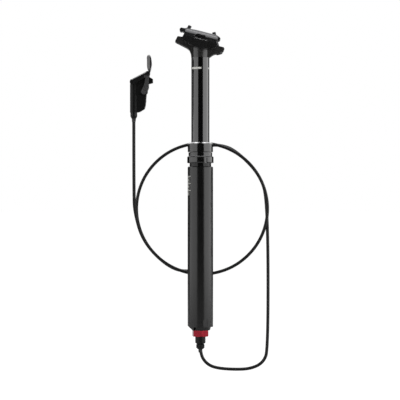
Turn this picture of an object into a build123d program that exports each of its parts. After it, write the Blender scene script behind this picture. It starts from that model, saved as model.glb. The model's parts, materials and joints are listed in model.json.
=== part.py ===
from build123d import *
import math
import os

# Dropper seatpost with a hydraulic remote, standing upright at full height.
# Origin at the centre of the outer tube's lower rim, +Z up the post, +X towards the front of the bicycle.
# All lengths are in millimetres and all angles in degrees.

# Outer tube
outer_d = 34.9
outer_wall = 3.2
outer_length = 217.6
outer_chamfer = 1.0
tube_overlap = 99.6

# Inner tube
inner_d = 25.0
inner_wall = 2.0
inner_show = 116.0

# Running and seating clearances, all radial
run_gap = 0.05
fit_gap = 0.05
part_gap = 0.3

# Collar stack at the top of the outer tube
neck_d = 29.7
neck_height = 4.6
skirt_length = 12.0
collar_d = 36.4
collar_height = 9.4
collar_round = 1.6
collar_slots = 4
collar_slot_width = 4.0
collar_slot_depth = 1.3
collar_slot_turn = 25.0
band_d = 33.6
band_height = 0.9
lock_d = 32.8
lock_height = 3.9
lock_gap = 0.6
cap_d = 34.8
cap_height = 11.2
cap_bevel = 2.2
cap_bevel_height = 2.3
cap_round = 0.8
cap_spigot_d = 28.9
seal_d = 29.0
seal_height = 7.4
seal_lip = 0.9
foam_d = 27.6
foam_height = 4.0
bushing_length = 16.0

# Foot of the outer tube
foot_rim = 1.1
foot_step_d = 29.0
foot_end_d = 26.8
foot_depth = 5.8
foot_ramp = 40.0
foot_land_d = 20.2
foot_web_step = 0.4
foot_spigot = 12.0
foot_flat_width = 6.6
foot_flat_height = 9.0
foot_flat_depth = 0.5
foot_flat_turn = -66.0
ring_height = 1.6
ring_groove = 1.0

# Hydraulic line coupling below the foot
coupling_flats = 20.4
coupling_height = 8.8
coupling_bore_d = 12.4
coupling_turn = 38.0
fitting_d = 14.1
fitting_height = 9.7
fitting_chamfer = 1.3
fitting_neck_d = 12.2
fitting_neck = 5.6
fitting_port_d = 3.2
nut_bead_d = 11.5
nut_waist_d = 9.2
nut_height = 7.4
nut_spigot_d = 8.0
nut_spigot = 4.6
nut_flutes = 8
nut_flute_d = 2.4

# Shaft, main piston and oil column
shaft_d = 10.0
shaft_bore_d = 6.4
shaft_foot_d = 20.0
shaft_foot = 4.0
shaft_below = 2.4
piston_height = 15.0
piston_groove = 2.4
piston_groove_depth = 1.7
piston_nut_d = 15.0
piston_nut_height = 9.0
piston_ports = 6
piston_port_d = 2.2
top_out_gap = 1.0
poppet_head_d = 8.4
poppet_head = 2.0
poppet_stem = 14.0
spring_wire = 0.7
poppet_spring_d = 6.2
poppet_spring_turns = 3.5

# Lower end of the inner tube
end_gap = 6.0
seal_head_height = 16.0
seal_head_lip = 2.0
rod_seal_height = 4.0
rod_seal_wall = 2.2
lower_bushing_length = 14.0
lower_bushing_rise = 3.0
key_count = 3
key_width = 3.0
key_length = 14.0
key_rise = 22.0
key_seat = 0.8
floating_height = 14.0
floating_rise = 125.0
floating_skirt = 1.8
floating_groove = 2.6

# Head on the inner tube, all heights from the joint line
head_reach = 35.0
head_height = 29.0
head_width = 27.0
ear_width = 19.0
head_spigot = 22.0
ear_end_round = 1.0
valve_d = 8.0
valve_pocket_d = 12.0
valve_cap_d = 9.6
valve_cap_height = 5.4
valve_cap_flutes = 12

# Rail clamp, in its own frame: u along the rails, w up across them
clamp_tilt = 14.2
clamp_rise = 23.4
cradle_r = 47.6
cradle_drop = 12.3
cradle_gap = 0.3
rail_d = 7.0
rail_spacing = 44.0
clamp_width = 57.0
lower_half = 23.5
jaw_gap = 1.6
upper_top = 12.4
upper_nose_rear = 31.0
upper_nose_front = 26.2
upper_nose_r = 2.6
upper_nose_rise = 7.6
block_inner = 10.0
block_outer = 22.6
block_top = 8.0
spine_width = 19.0
jaw_rise = 4.0
lower_centre = 13.5
lower_notch_width = 21.0
lower_window = 22.0
lower_window_width = 12.0
cradle_half = 18.0
spine_groove = 5.0
spine_groove_depth = 3.6
rib_length = 21.4
rib_foot = 24.0
rib_top = 8.0
rib_rise = 3.4
jaw_round = 1.2

# Clamp bolts, from the ears of the head to the barrel nuts in the upper clamp
nut_u_rear = -20.5
nut_u_front = 19.1
nut_w = 8.0
bolt_lean_rear = 28.0
bolt_lean_front = -14.4
bolt_length_rear = 17.0
bolt_length_front = 19.0
bolt_d = 5.0
bolt_over = 8.6
bolt_head_d = 8.6
bolt_head = 4.0
bolt_socket = 4.0
bolt_socket_depth = 2.6
washer_r = 4.6
washer_width = 9.6
barrel_d = 8.6
barrel_width = 12.0
swing_gap = 0.35
ear_swing = 8.5
nut_swing = 12.0
pocket_gap = 0.9

# Remote, placed beside the post where the hose leads
barrel_x = -91.0
barrel_z = 283.2
barrel_od = 10.5
barrel_height = 47.0
barrel_bore_d = 6.1
cup_d = 9.3
cup_depth = 4.3
gland_d = 9.4
gland_end_d = 6.4
gland_height = 8.3
gland_taper = 3.0
gland_spigot_d = 6.8
gland_spigot = 4.0
plunger_d = 6.0
plunger_cap_d = 8.8
plunger_cap = 4.6
plunger_edge = 0.6
nose_r = 1.6
nose_rise = 14.6
nose_back = 14.0
plunger_length = 20.0
plunger_stroke = 2.0
return_spring_d = 5.2
return_spring_turns = 5.5
pivot_x = 14.4
pivot_drop = 10.2
pivot_pin_d = 3.0
pivot_boss_d = 9.6
body_width = 10.0
housing_rise = 30.5
bulge_width = 13.0
bulge_round = 2.4
lever_limb = 2.6
lever_gap = 0.55
lever_hub_d = 8.6
lever_reach = 19.8
lever_neck_rise = 26.9
lever_round = 1.0
lever_edge_lean = 30.0
bulge_rise = 6.3
bulge_side_drop = 5.6
paddle_width = 20.0
paddle_height = 23.0
paddle_round = 6.0
paddle_dish_r = 30.0
paddle_dish = 1.1
tab_end = 11.8
tab_hole_rise = 14.4
tab_hole_d = 4.2
tab_hole_depth = 8.0
cover_d = 11.0
cover_height = 1.6
cover_drop = 12.6
bleed_d = 5.0
bleed_height = 1.4
bleed_socket = 2.0
bleed_drop = 21.8

# Hose, from the remote to the foot. Its points are the corners of the route.
hose_d = 4.4
hose_bore_gap = 0.15
remote_entry = 2.8
hose_points = [
    (-91.0, 0.0, 286.0),
    (-91.0, 0.0, 240.3),
    (-91.0, 5.0, 185.6),
    (-90.7, 12.0, 155.1),
    (-78.5, 17.0, 113.3),
    (-44.4, 20.1, 79.0),
    (2.2, 20.6, 66.5),
    (48.9, 20.1, 79.0),
    (83.1, 18.4, 113.2),
    (95.7, 17.0, 159.9),
    (83.1, 18.4, 206.6),
    (48.9, 20.1, 240.8),
    (2.2, 20.6, 253.3),
    (-44.5, 21.2, 240.8),
    (-78.7, 23.0, 206.6),
    (-91.3, 24.8, 159.9),
    (-78.8, 26.0, 113.1),
    (-44.6, 26.6, 78.8),
    (-16.0, 26.8, 71.5),
    (5.0, 26.9, 84.0),
    (8.0, 27.0, 110.0),
    (3.0, 26.6, 158.0),
    (-7.0, 26.6, 202.0),
    (-9.5, 26.8, 226.0),
    (7.0, 26.8, 246.5),
    (27.0, 26.7, 248.5),
    (48.9, 26.4, 240.8),
    (83.0, 25.8, 206.5),
    (93.3, 25.0, 168.8),
    (92.9, 2.0, -31.9),
    (86.3, 1.0, -50.5),
    (68.5, 0.6, -59.1),
    (43.0, 0.4, -59.8),
    (19.0, 0.2, -57.4),
    (7.0, 0.1, -50.6),
    (0.0, 0.0, -38.4),
    (0.0, 0.0, -24.4),
]
hose_arc_share = 0.45

# Overrun of cutting tools past the surface that they cut
over = 1.0

# Places worked out from the sizes above
outer_r = outer_d / 2
outer_bore_r = outer_r - outer_wall
inner_r = inner_d / 2
inner_bore_r = inner_r - inner_wall
neck_z = outer_length
collar_z = neck_z + neck_height
band_z = collar_z + collar_height
lock_z = band_z + band_height
cap_z = lock_z + lock_height + lock_gap
cap_top = cap_z + cap_height + cap_bevel_height
inner_top = cap_top + inner_show
skirt_z = neck_z - skirt_length
foot_top = foot_spigot
inner_low = outer_length - tube_overlap
piston_z = inner_low + seal_head_height + top_out_gap
piston_top = piston_z + piston_height
floating_z = inner_low + floating_rise
clamp_z = inner_top + clamp_rise
cradle_centre = cradle_r - cradle_drop
foot_low = -foot_depth
coupling_low = foot_low - coupling_height
fitting_low = coupling_low - fitting_height
nut_low = fitting_low - nut_height
pivot_at_x = barrel_x + pivot_x
pivot_at_z = barrel_z + barrel_height - pivot_drop
bulge_drop = barrel_height - pivot_drop - bulge_rise


def ring(outer, inner, height, z):
    """Plain ring round the post axis, from height z upwards."""
    body = Cylinder(outer, height, align=(Align.CENTER, Align.CENTER, Align.MIN))
    if inner > 0:
        body -= Cylinder(inner, height + 2 * over).translate((0, 0, height / 2))
    return body.translate((0, 0, z))


def turned(points):
    """Solid of revolution round the post axis from (radius, height) points."""
    face = make_face(Plane.XZ * Polyline(*points, close=True))
    return revolve(face, Axis.Z)


def save(shape, name):
    export_step(shape, f"parts/{name}.step")


def outer_tube():
    """Outer tube with a chamfered rim, a wider mouth for the collar's skirt and three key grooves."""
    mouth_r = neck_d / 2 + fit_gap
    tube = turned([
        (outer_bore_r, 0),
        (outer_r, 0),
        (outer_r, outer_length - outer_chamfer),
        (outer_r - outer_chamfer, outer_length),
        (mouth_r, outer_length),
        (mouth_r, skirt_z),
        (outer_bore_r, skirt_z),
    ])
    groove_low = foot_top + end_gap
    groove_height = skirt_z - bushing_length - groove_low
    groove = Box(
        outer_bore_r + key_seat + run_gap,
        key_width + 2 * run_gap,
        groove_height,
        align=(Align.MIN, Align.CENTER, Align.MIN),
    )
    for index in range(key_count):
        tube -= groove.translate((0, 0, groove_low)).rotate(Axis.Z, index * 360 / key_count)
    flat = Box(foot_flat_depth * 2, foot_flat_width, foot_flat_height * 2)
    flat = flat.translate((outer_r, 0, 0)).rotate(Axis.Z, foot_flat_turn)
    return tube - flat


def foot_cap():
    """Plug of the tube's lower end: a rim, a stepped boss, a rear ramp and a spigot with the shaft's seat."""
    boss_r = foot_step_d / 2
    end_r = foot_end_d / 2
    round_part = turned([
        (0, foot_low),
        (end_r, foot_low),
        (boss_r, -foot_rim),
        (outer_r, -foot_rim),
        (outer_r, 0),
        (outer_bore_r - fit_gap, 0),
        (outer_bore_r - fit_gap, foot_top),
        (0, foot_top),
    ])
    web = ring(outer_r - foot_web_step, 0, foot_depth - foot_rim, foot_low)
    rear = Box(outer_d, outer_d, outer_d, align=(Align.MAX, Align.CENTER, Align.CENTER))
    web = web & rear.translate((-foot_land_d / 2 + foot_rim, 0, 0))
    body = round_part + web
    slope = Box(outer_d * 2, outer_d * 2, outer_d, align=(Align.CENTER, Align.CENTER, Align.MAX))
    slope = slope.rotate(Axis.Y, foot_ramp).translate((-foot_land_d / 2, 0, foot_low))
    keep = Box(outer_d, outer_d * 2, outer_d * 2, align=(Align.MAX, Align.CENTER, Align.CENTER))
    body -= slope & keep.translate((-foot_land_d / 2, 0, 0))
    body -= ring(shaft_foot_d / 2 + fit_gap, 0, foot_top, foot_top - ring_height - shaft_foot)
    body -= ring(shaft_foot_d / 2 + ring_groove, 0, ring_height, foot_top - ring_height)
    body -= ring(shaft_d / 2 + fit_gap, 0, foot_depth + foot_top, foot_low)
    return body


def foot_ring():
    """Split retaining ring that holds the shaft's flange down in the foot."""
    outer = shaft_foot_d / 2 + ring_groove - fit_gap
    body = ring(outer, outer - 3 * ring_groove, ring_height, foot_top - ring_height)
    split = Box(outer * 2, 3 * ring_groove, ring_height * 3, align=(Align.MIN, Align.CENTER, Align.CENTER))
    return body - split.translate((0, 0, foot_top))


def shaft():
    """Hollow shaft with its foot flange, up to the main piston."""
    flange_low = foot_top - ring_height - shaft_foot
    low = foot_low - shaft_below
    bore = shaft_bore_d / 2
    return turned([
        (bore, low),
        (shaft_d / 2, low),
        (shaft_d / 2, flange_low),
        (shaft_foot_d / 2, flange_low),
        (shaft_foot_d / 2, flange_low + shaft_foot),
        (shaft_d / 2, flange_low + shaft_foot),
        (shaft_d / 2, piston_top),
        (bore, piston_top),
    ])


def main_piston():
    """Piston fixed on the shaft's upper end, with a groove for its seal and oil ports through it."""
    outer = inner_bore_r - part_gap
    groove_low = piston_z + (piston_height - piston_groove) / 2
    groove_r = outer - piston_groove_depth
    body = turned([
        (shaft_d / 2, piston_z),
        (outer, piston_z),
        (outer, groove_low),
        (groove_r, groove_low),
        (groove_r, groove_low + piston_groove),
        (outer, groove_low + piston_groove),
        (outer, piston_top),
        (shaft_d / 2, piston_top),
    ])
    port = ring(piston_port_d / 2, 0, piston_height + 2 * over, piston_z - over)
    middle = (shaft_d / 2 + groove_r) / 2
    for index in range(piston_ports):
        body -= port.translate((middle, 0, 0)).rotate(Axis.Z, index * 360 / piston_ports)
    return body


def piston_seal():
    """Seal ring in the main piston's groove."""
    groove_low = piston_z + (piston_height - piston_groove) / 2
    groove_r = inner_bore_r - part_gap - piston_groove_depth
    return ring(inner_bore_r - run_gap, groove_r, piston_groove, groove_low)


def piston_nut():
    """Cage nut above the piston, round the poppet valve and its spring."""
    cage = poppet_head_d / 2 + part_gap
    vent = poppet_spring_d / 2 - 2 * spring_wire
    wall_low = piston_top
    roof = poppet_head
    top = wall_low + piston_nut_height + roof
    body = turned([
        (cage, wall_low),
        (piston_nut_d / 2, wall_low),
        (piston_nut_d / 2, top - roof / 2),
        (piston_nut_d / 2 - roof / 2, top),
        (vent, top),
        (vent, top - roof),
        (cage, top - roof),
    ])
    window = Box(piston_nut_d * 2, cage, piston_nut_height / 3)
    window = window.translate((0, 0, wall_low + piston_nut_height / 2))
    return body - window - window.rotate(Axis.Z, 90)


def poppet_stem_r():
    return shaft_bore_d / 2 - run_gap


def poppet():
    """Poppet valve: a seated head, and a stem that the hose's oil lifts inside the shaft."""
    stem_r = poppet_stem_r()
    return turned([
        (0, piston_top - poppet_stem),
        (stem_r, piston_top - poppet_stem),
        (stem_r, piston_top),
        (poppet_head_d / 2, piston_top),
        (poppet_head_d / 2, piston_top + poppet_head / 2),
        (poppet_head_d / 2 - poppet_head / 4, piston_top + poppet_head),
        (0, piston_top + poppet_head),
    ])


def coil(diameter, height, turns, wire, z, x):
    """Compression spring from height z upwards, its ends half a wire inside the height."""
    path = Helix(
        pitch=(height - wire) / turns,
        height=height - wire,
        radius=(diameter - wire) / 2,
        center=(x, 0, z + wire / 2),
    )
    section = Plane(origin=path @ 0, z_dir=path % 0) * Circle(wire / 2)
    return sweep(section, path, is_frenet=True)


def poppet_spring():
    """Spring that closes the poppet valve."""
    low = piston_top + poppet_head
    height = piston_nut_height - poppet_head
    return coil(poppet_spring_d, height, poppet_spring_turns, spring_wire, low, 0)


def collar():
    """Threaded collar: a flanged ring with spanner slots, its neck and the skirt inside the outer tube."""
    bore = inner_r + run_gap + part_gap
    neck_r = neck_d / 2
    outer = collar_d / 2
    body = turned([
        (bore, skirt_z),
        (neck_r, skirt_z),
        (neck_r, collar_z),
        (outer, collar_z),
        (outer, band_z),
        (bore, band_z),
    ])
    edges = body.edges().filter_by(GeomType.CIRCLE)
    rims = edges.filter_by(lambda edge: abs(edge.radius - outer) < part_gap)
    body = fillet(rims, collar_round)
    slot = Box(
        collar_slot_depth * 2,
        collar_slot_width,
        collar_height,
        align=(Align.CENTER, Align.CENTER, Align.MIN),
    )
    slot = slot.translate((outer, 0, collar_z - collar_height / 4))
    for index in range(collar_slots):
        body -= slot.rotate(Axis.Z, collar_slot_turn + index * 360 / collar_slots)
    return body


def collar_band():
    """Thin bright washer between the collar and the lock ring."""
    return ring(band_d / 2 - collar_round / 2, cap_spigot_d / 2 + fit_gap, band_height, band_z)


def lock_ring():
    """Narrow threaded lock ring under the seal cap."""
    return ring(lock_d / 2, cap_spigot_d / 2 + fit_gap, lock_height, lock_z)


def seal_cap():
    """Seal cap with a bevelled top and a threaded spigot down to the collar."""
    bore = inner_r + run_gap + part_gap
    spigot_r = cap_spigot_d / 2
    outer = cap_d / 2
    roof = cap_top - seal_height
    foam_low = roof - seal_lip - foam_height
    return turned([
        (bore, band_z),
        (spigot_r, band_z),
        (spigot_r, cap_z - lock_gap),
        (spigot_r, cap_z),
        (outer - cap_round, cap_z),
        (outer, cap_z + cap_round),
        (outer, cap_z + cap_height),
        (outer - cap_bevel, cap_top),
        (seal_d / 2 + fit_gap, cap_top),
        (seal_d / 2 + fit_gap, roof),
        (bore, roof),
        (bore, roof - seal_lip),
        (foam_d / 2 + fit_gap, roof - seal_lip),
        (foam_d / 2 + fit_gap, foam_low),
        (bore, foam_low),
    ])


def wiper_seal():
    """Dust seal with an inner lip that wipes the inner tube."""
    low = cap_top - seal_height
    lip = inner_r + run_gap
    open_r = lip + seal_lip
    return turned([
        (open_r, low),
        (seal_d / 2, low),
        (seal_d / 2, cap_top),
        (open_r, cap_top),
        (lip, cap_top - seal_lip),
        (lip, cap_top - 2 * seal_lip),
        (open_r, cap_top - 3 * seal_lip),
    ])


def foam_ring():
    """Oiled foam ring under the dust seal."""
    low = cap_top - seal_height - seal_lip - foam_height
    return ring(foam_d / 2, inner_r + run_gap, foam_height, low)


def upper_bushing():
    """Upper guide bushing, pressed in under the collar's skirt."""
    return ring(outer_bore_r - fit_gap, inner_r + run_gap, bushing_length, skirt_z - bushing_length)


def coupling():
    """Hexagonal quick coupling with its corners turned off at both ends."""
    flats = coupling_flats / 2
    hexagon = RegularPolygon(flats, 6, major_radius=False, rotation=coupling_turn)
    body = extrude(hexagon, coupling_height).translate((0, 0, coupling_low))
    corner = flats / math.cos(math.radians(30))
    turn_off = (corner - flats) / 2
    body &= turned([
        (0, coupling_low),
        (flats, coupling_low),
        (corner, coupling_low + turn_off),
        (corner, foot_low - turn_off),
        (flats, foot_low),
        (0, foot_low),
    ])
    return body - ring(coupling_bore_d / 2, 0, coupling_height + 2 * over, coupling_low - over)


def hose_fitting():
    """Swivel fitting: a neck up into the coupling, a body with a chamfered end and the hose nut's socket."""
    outer = fitting_d / 2
    neck_top = coupling_low + fitting_neck
    socket_top = fitting_low + nut_spigot + part_gap
    return turned([
        (nut_spigot_d / 2 + fit_gap, fitting_low),
        (outer - fitting_chamfer, fitting_low),
        (outer, fitting_low + fitting_chamfer),
        (outer, coupling_low),
        (fitting_neck_d / 2, coupling_low),
        (fitting_neck_d / 2, neck_top),
        (fitting_port_d / 2, neck_top),
        (fitting_port_d / 2, socket_top),
        (nut_spigot_d / 2 + fit_gap, socket_top),
    ])


def hose_nut():
    """Fluted compression nut: a threaded spigot, a waist and a rounded bead, bored for the hose."""
    bore = hose_d / 2 + hose_bore_gap
    bead_r = nut_bead_d / 2
    waist = nut_waist_d / 2
    body = turned([
        (bore, nut_low),
        (waist - nut_flute_d / 4, nut_low),
        (waist, nut_low + nut_flute_d / 4),
        (bead_r, nut_low + nut_height / 4),
        (bead_r, nut_low + nut_height * 3 / 4),
        (waist, fitting_low),
        (nut_spigot_d / 2, fitting_low),
        (nut_spigot_d / 2, fitting_low + nut_spigot),
        (bore, fitting_low + nut_spigot),
    ])
    flute = ring(nut_flute_d / 2, 0, nut_height, nut_low - nut_flute_d / 4)
    for index in range(nut_flutes):
        body -= flute.translate((bead_r + nut_flute_d / 4, 0, 0)).rotate(Axis.Z, index * 360 / nut_flutes)
    return body


def inner_tube():
    """Inner tube with three slots near its lower end that seat the guide keys."""
    tube = ring(inner_r, inner_bore_r, inner_top - inner_low, inner_low)
    seat = Box(
        inner_r,
        key_width,
        key_length,
        align=(Align.MIN, Align.CENTER, Align.MIN),
    )
    seat = seat.translate((inner_r - key_seat, 0, inner_low + key_rise))
    for index in range(key_count):
        tube -= seat.rotate(Axis.Z, index * 360 / key_count)
    return tube


def guide_keys():
    """Brass keys between the inner tube's slots and the outer tube's grooves."""
    height = outer_bore_r + key_seat - (inner_r - key_seat) - run_gap
    key = Box(
        height,
        key_width,
        key_length,
        align=(Align.MIN, Align.CENTER, Align.MIN),
    )
    key = key.translate((inner_r - key_seat, 0, inner_low + key_rise))
    return Compound([key.rotate(Axis.Z, index * 360 / key_count) for index in range(key_count)])


def lower_bushing():
    """Lower guide bushing on the inner tube."""
    outer = outer_bore_r - run_gap
    return ring(outer, inner_r + fit_gap, lower_bushing_length, inner_low + lower_bushing_rise)


def seal_head():
    """Seal head that closes the inner tube round the shaft."""
    bore = shaft_d / 2 + run_gap
    seal_r = shaft_d / 2 + rod_seal_wall
    top = inner_low + seal_head_height
    return turned([
        (bore, inner_low - seal_head_lip),
        (inner_r, inner_low - seal_head_lip),
        (inner_r, inner_low),
        (inner_bore_r - fit_gap, inner_low),
        (inner_bore_r - fit_gap, top),
        (seal_r, top),
        (seal_r, top - rod_seal_height),
        (bore, top - rod_seal_height),
    ])


def rod_seal():
    """Shaft seal in the top of the seal head."""
    top = inner_low + seal_head_height
    outer = shaft_d / 2 + rod_seal_wall
    return ring(outer, shaft_d / 2 + run_gap, rod_seal_height, top - rod_seal_height)


def floating_piston():
    """Floating piston between the oil below and the air above, a cup with a seal groove."""
    outer = inner_bore_r - part_gap
    groove_r = outer - piston_groove_depth
    low = floating_z
    groove_low = low + floating_groove
    top = low + floating_height
    return turned([
        (0, low),
        (outer, low),
        (outer, groove_low),
        (groove_r, groove_low),
        (groove_r, groove_low + piston_groove),
        (outer, groove_low + piston_groove),
        (outer, top),
        (outer - floating_skirt, top),
        (outer - floating_skirt, groove_low + 2 * piston_groove),
        (0, groove_low + 2 * piston_groove),
    ])


def floating_seal():
    """Seal ring of the floating piston."""
    groove_r = inner_bore_r - part_gap - piston_groove_depth
    return ring(inner_bore_r - run_gap, groove_r, piston_groove, floating_z + floating_groove)


# Side outline of the head as shares of its reach and height, from the rear of the neck round by the ears
head_outline_shares = [
    (-0.357, 0.0),
    (-0.371, 0.166),
    (-0.426, 0.338),
    (-0.531, 0.448),
    (-0.994, 0.734),
    (-0.886, 0.99),
    (-0.671, 0.952),
    (-0.517, 0.876),
    (0.48, 0.572),
    (0.709, 0.528),
    (0.909, 0.466),
    (0.94, 0.386),
    (0.9, 0.279),
    (0.751, 0.207),
    (0.531, 0.138),
    (0.434, 0.069),
    (0.357, 0.0),
]


def clamp_place(u, w):
    """World x and z of a point of the rail clamp's own frame."""
    turn = math.radians(clamp_tilt)
    x = u * math.cos(turn) + w * math.sin(turn)
    z = clamp_z - u * math.sin(turn) + w * math.cos(turn)
    return x, z


def in_clamp(shape):
    """Carry a shape from the clamp's own frame to its place on the post."""
    return shape.rotate(Axis.Y, clamp_tilt).translate((0, 0, clamp_z))


def bolt_line(front):
    """Nut centre, ear pivot, length and lean of one clamp bolt."""
    u = nut_u_front if front else nut_u_rear
    lean = bolt_lean_front if front else bolt_lean_rear
    length = bolt_length_front if front else bolt_length_rear
    nut_x, nut_z = clamp_place(u, nut_w)
    ear_x = nut_x - length * math.sin(math.radians(lean))
    ear_z = nut_z - length * math.cos(math.radians(lean))
    return (nut_x, nut_z), (ear_x, ear_z), length, lean


def at_ear(shape, front):
    """Carry a shape from a bolt's own frame, with its pivot at the origin, to its ear."""
    _, (x, z), _, lean = bolt_line(front)
    return shape.rotate(Axis.Y, lean).translate((x, 0, z))


def side_plate(points, width):
    """Plate of the given width whose outline lies in the XZ plane."""
    face = make_face(Plane.XZ * Polyline(*points, close=True))
    return extrude(face, width / 2, both=True)


def y_cylinder(radius, width):
    """Cylinder along Y through the origin."""
    return Cylinder(radius, width).rotate(Axis.X, 90)


def head():
    """Forged head: neck, cradle for the lower clamp, two bolt ears with washer seats, and the valve's pocket."""
    outline = [(x * head_reach, z * head_height + inner_top) for x, z in head_outline_shares]
    body = side_plate(outline, ear_width)
    corners = body.edges().filter_by(Axis.Y)
    ends = corners.filter_by(lambda edge: abs(edge.center().X) > head_reach * 4 / 5)
    body = fillet(ends, ear_end_round)
    pad = side_plate(outline, head_width) & ring(head_width / 2, 0, head_height, inner_top)
    neck = ring(inner_r, 0, clamp_rise - cradle_drop, inner_top)
    body = body + pad + neck
    cradle = y_cylinder(cradle_r + cradle_gap, head_width * 2).translate((0, 0, cradle_centre))
    slab = Box(cradle_half * 2, head_width * 3, cradle_r * 4)
    body -= in_clamp(cradle & slab)
    for front in (False, True):
        body -= at_ear(ear_cut(), front)
    spigot_r = inner_bore_r - fit_gap
    body += ring(spigot_r, 0, head_spigot, inner_top - head_spigot)
    bore = valve_d / 2 + fit_gap
    body -= ring(bore, 0, head_spigot + head_height, inner_top - head_spigot - over)
    return body - ring(valve_pocket_d / 2 + fit_gap, 0, head_height, inner_top + ear_end_round)


def ear_cut():
    """What one bolt cuts from its ear: a washer seat, a pocket for the head below and a swing slot above."""
    seat = y_cylinder(washer_r + fit_gap, washer_width + 2 * part_gap)
    pocket_half = bolt_head_d / 2 + pocket_gap
    pocket = Box(
        2 * pocket_half,
        washer_width + 2 * part_gap,
        head_height,
        align=(Align.CENTER, Align.CENTER, Align.MAX),
    )
    slot = Box(
        bolt_d + 2 * swing_gap,
        bolt_d + 2 * swing_gap,
        head_height,
        align=(Align.CENTER, Align.CENTER, Align.MIN),
    )
    slots = [slot.rotate(Axis.Y, angle) for angle in (-ear_swing, 0, ear_swing)]
    return seat + pocket + slots


def lower_clamp():
    """Lower rail clamp: a lens-shaped block with two rail grooves, bolt notches and a window over the valve."""
    top = -jaw_gap / 2
    block = Box(2 * lower_half, clamp_width, cradle_r, align=(Align.CENTER, Align.CENTER, Align.MAX))
    block = block.translate((0, 0, top))
    body = block & y_cylinder(cradle_r, clamp_width * 2).translate((0, 0, cradle_centre))
    corners = body.edges().filter_by(Axis.Y).group_by(Axis.Z)[-1]
    body = fillet(corners, jaw_round)
    notch = Box(
        lower_half,
        lower_notch_width,
        cradle_r,
        align=(Align.MIN, Align.CENTER, Align.CENTER),
    )
    body -= notch.translate((lower_centre, 0, 0))
    body -= notch.translate((-lower_centre - lower_half, 0, 0))
    window = fillet(Box(lower_window_width, lower_window, cradle_r).edges().filter_by(Axis.Z), jaw_rise)
    body -= window
    return in_clamp(body - rail_grooves())


def rail_grooves():
    """The two saddle rails' bores along the clamp."""
    groove = Cylinder(rail_d / 2, clamp_width * 2).rotate(Axis.Y, 90)
    return groove.translate((0, rail_spacing / 2, 0)) + groove.translate((0, -rail_spacing / 2, 0))


# Side outlines of the upper clamp as shares: along by the jaw's half length, up by its top
jaw_outline_shares = [
    (-1.0, 0.1),
    (-0.46, 0.1),
    (-0.38, 0.45),
    (-0.22, 0.74),
    (0.22, 0.74),
    (0.38, 0.45),
    (0.46, 0.1),
    (1.0, 0.1),
    (1.0, 0.86),
    (0.92, 1.06),
    (-0.92, 1.06),
    (-1.0, 0.86),
]
ridge_outline_shares = [
    (-0.98, 0.36),
    (0.98, 0.36),
    (1.08, 0.52),
    (1.08, 0.84),
    (0.9, 0.95),
    (0.55, 1.0),
    (-0.4, 1.0),
    (-0.75, 0.92),
    (-1.26, 0.82),
    (-1.26, 0.5),
]


def upper_clamp():
    """Upper rail clamp: a ridge with two nut seats and noses over a sloping rib, between two arched rail jaws."""
    jaws = side_plate([(u * block_outer, w * block_top) for u, w in jaw_outline_shares], clamp_width)
    outer_edges = jaws.edges().filter_by(Axis.Y).group_by(Axis.Z)[-1]
    jaws = fillet(outer_edges, jaw_round)
    ridge = side_plate([(u * block_outer, w * upper_top) for u, w in ridge_outline_shares], spine_width)
    slope = Plane.YZ * Polyline(
        (-rib_foot / 2, -jaw_gap / 4),
        (rib_foot / 2, -jaw_gap / 4),
        (rib_top / 2, rib_rise),
        (rib_top / 2, block_top),
        (-rib_top / 2, block_top),
        (-rib_top / 2, rib_rise),
        close=True,
    )
    rib = extrude(make_face(slope), rib_length / 2, both=True)
    body = jaws + ridge + rib
    for u in (-upper_nose_rear + upper_nose_r, upper_nose_front - upper_nose_r):
        body += y_cylinder(upper_nose_r, spine_width).translate((u, 0, upper_nose_rise))
    groove = Box(block_inner * 4, spine_groove, spine_groove_depth * 2)
    for side in (-1, 1):
        body -= groove.translate((0, side * (spine_width + spine_groove) / 2, block_top))
    for u in (nut_u_rear, nut_u_front):
        body -= nut_cut(u)
    return in_clamp(body - rail_grooves())


def nut_cut(u):
    """What a barrel nut and its bolt cut from the upper clamp: a round seat open upwards and a swing slot."""
    seat = y_cylinder(barrel_d / 2 + fit_gap, barrel_width + 2 * part_gap)
    mouth = Box(
        barrel_d + 2 * fit_gap,
        barrel_width + 2 * part_gap,
        block_outer,
        align=(Align.CENTER, Align.CENTER, Align.MIN),
    )
    slot = Box(bolt_d + 2 * swing_gap, bolt_d + 2 * swing_gap, block_outer * 2)
    lean = (bolt_lean_front if u > 0 else bolt_lean_rear) - clamp_tilt
    slots = [slot.rotate(Axis.Y, lean + angle) for angle in (-nut_swing, 0, nut_swing)]
    return (seat + mouth + slots).translate((u, 0, nut_w))


def clamp_bolt(front):
    """Socket-head clamp bolt from its ear up through the barrel nut."""
    length = bolt_length_front if front else bolt_length_rear
    radius = bolt_d / 2
    head_r = bolt_head_d / 2
    tip = length + bolt_over
    body = turned([
        (0, -bolt_head),
        (head_r - bolt_socket / 8, -bolt_head),
        (head_r, -bolt_head + bolt_socket / 8),
        (head_r, 0),
        (radius, 0),
        (radius, tip - bolt_socket / 8),
        (radius - bolt_socket / 8, tip),
        (0, tip),
    ])
    socket = extrude(RegularPolygon(bolt_socket / 2, 6, major_radius=False), bolt_socket_depth)
    return at_ear(body - socket.translate((0, 0, -bolt_head)), front)


def half_washer(front):
    """Half-round washer between the bolt's head and the ear."""
    body = y_cylinder(washer_r, washer_width)
    half = Box(washer_r * 3, washer_width * 2, washer_r * 2, align=(Align.CENTER, Align.CENTER, Align.MIN))
    hole = Cylinder(bolt_d / 2 + fit_gap, washer_r * 4)
    return at_ear((body & half) - hole, front)


def barrel_nut(front):
    """Barrel nut that turns in the upper clamp, cross-bored for its bolt."""
    (x, z), _, _, lean = bolt_line(front)
    body = y_cylinder(barrel_d / 2, barrel_width)
    body = chamfer(body.edges().filter_by(GeomType.CIRCLE), part_gap)
    body -= Cylinder(bolt_d / 2 + swing_gap, barrel_d * 2)
    return body.rotate(Axis.Y, lean).translate((x, 0, z))


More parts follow.
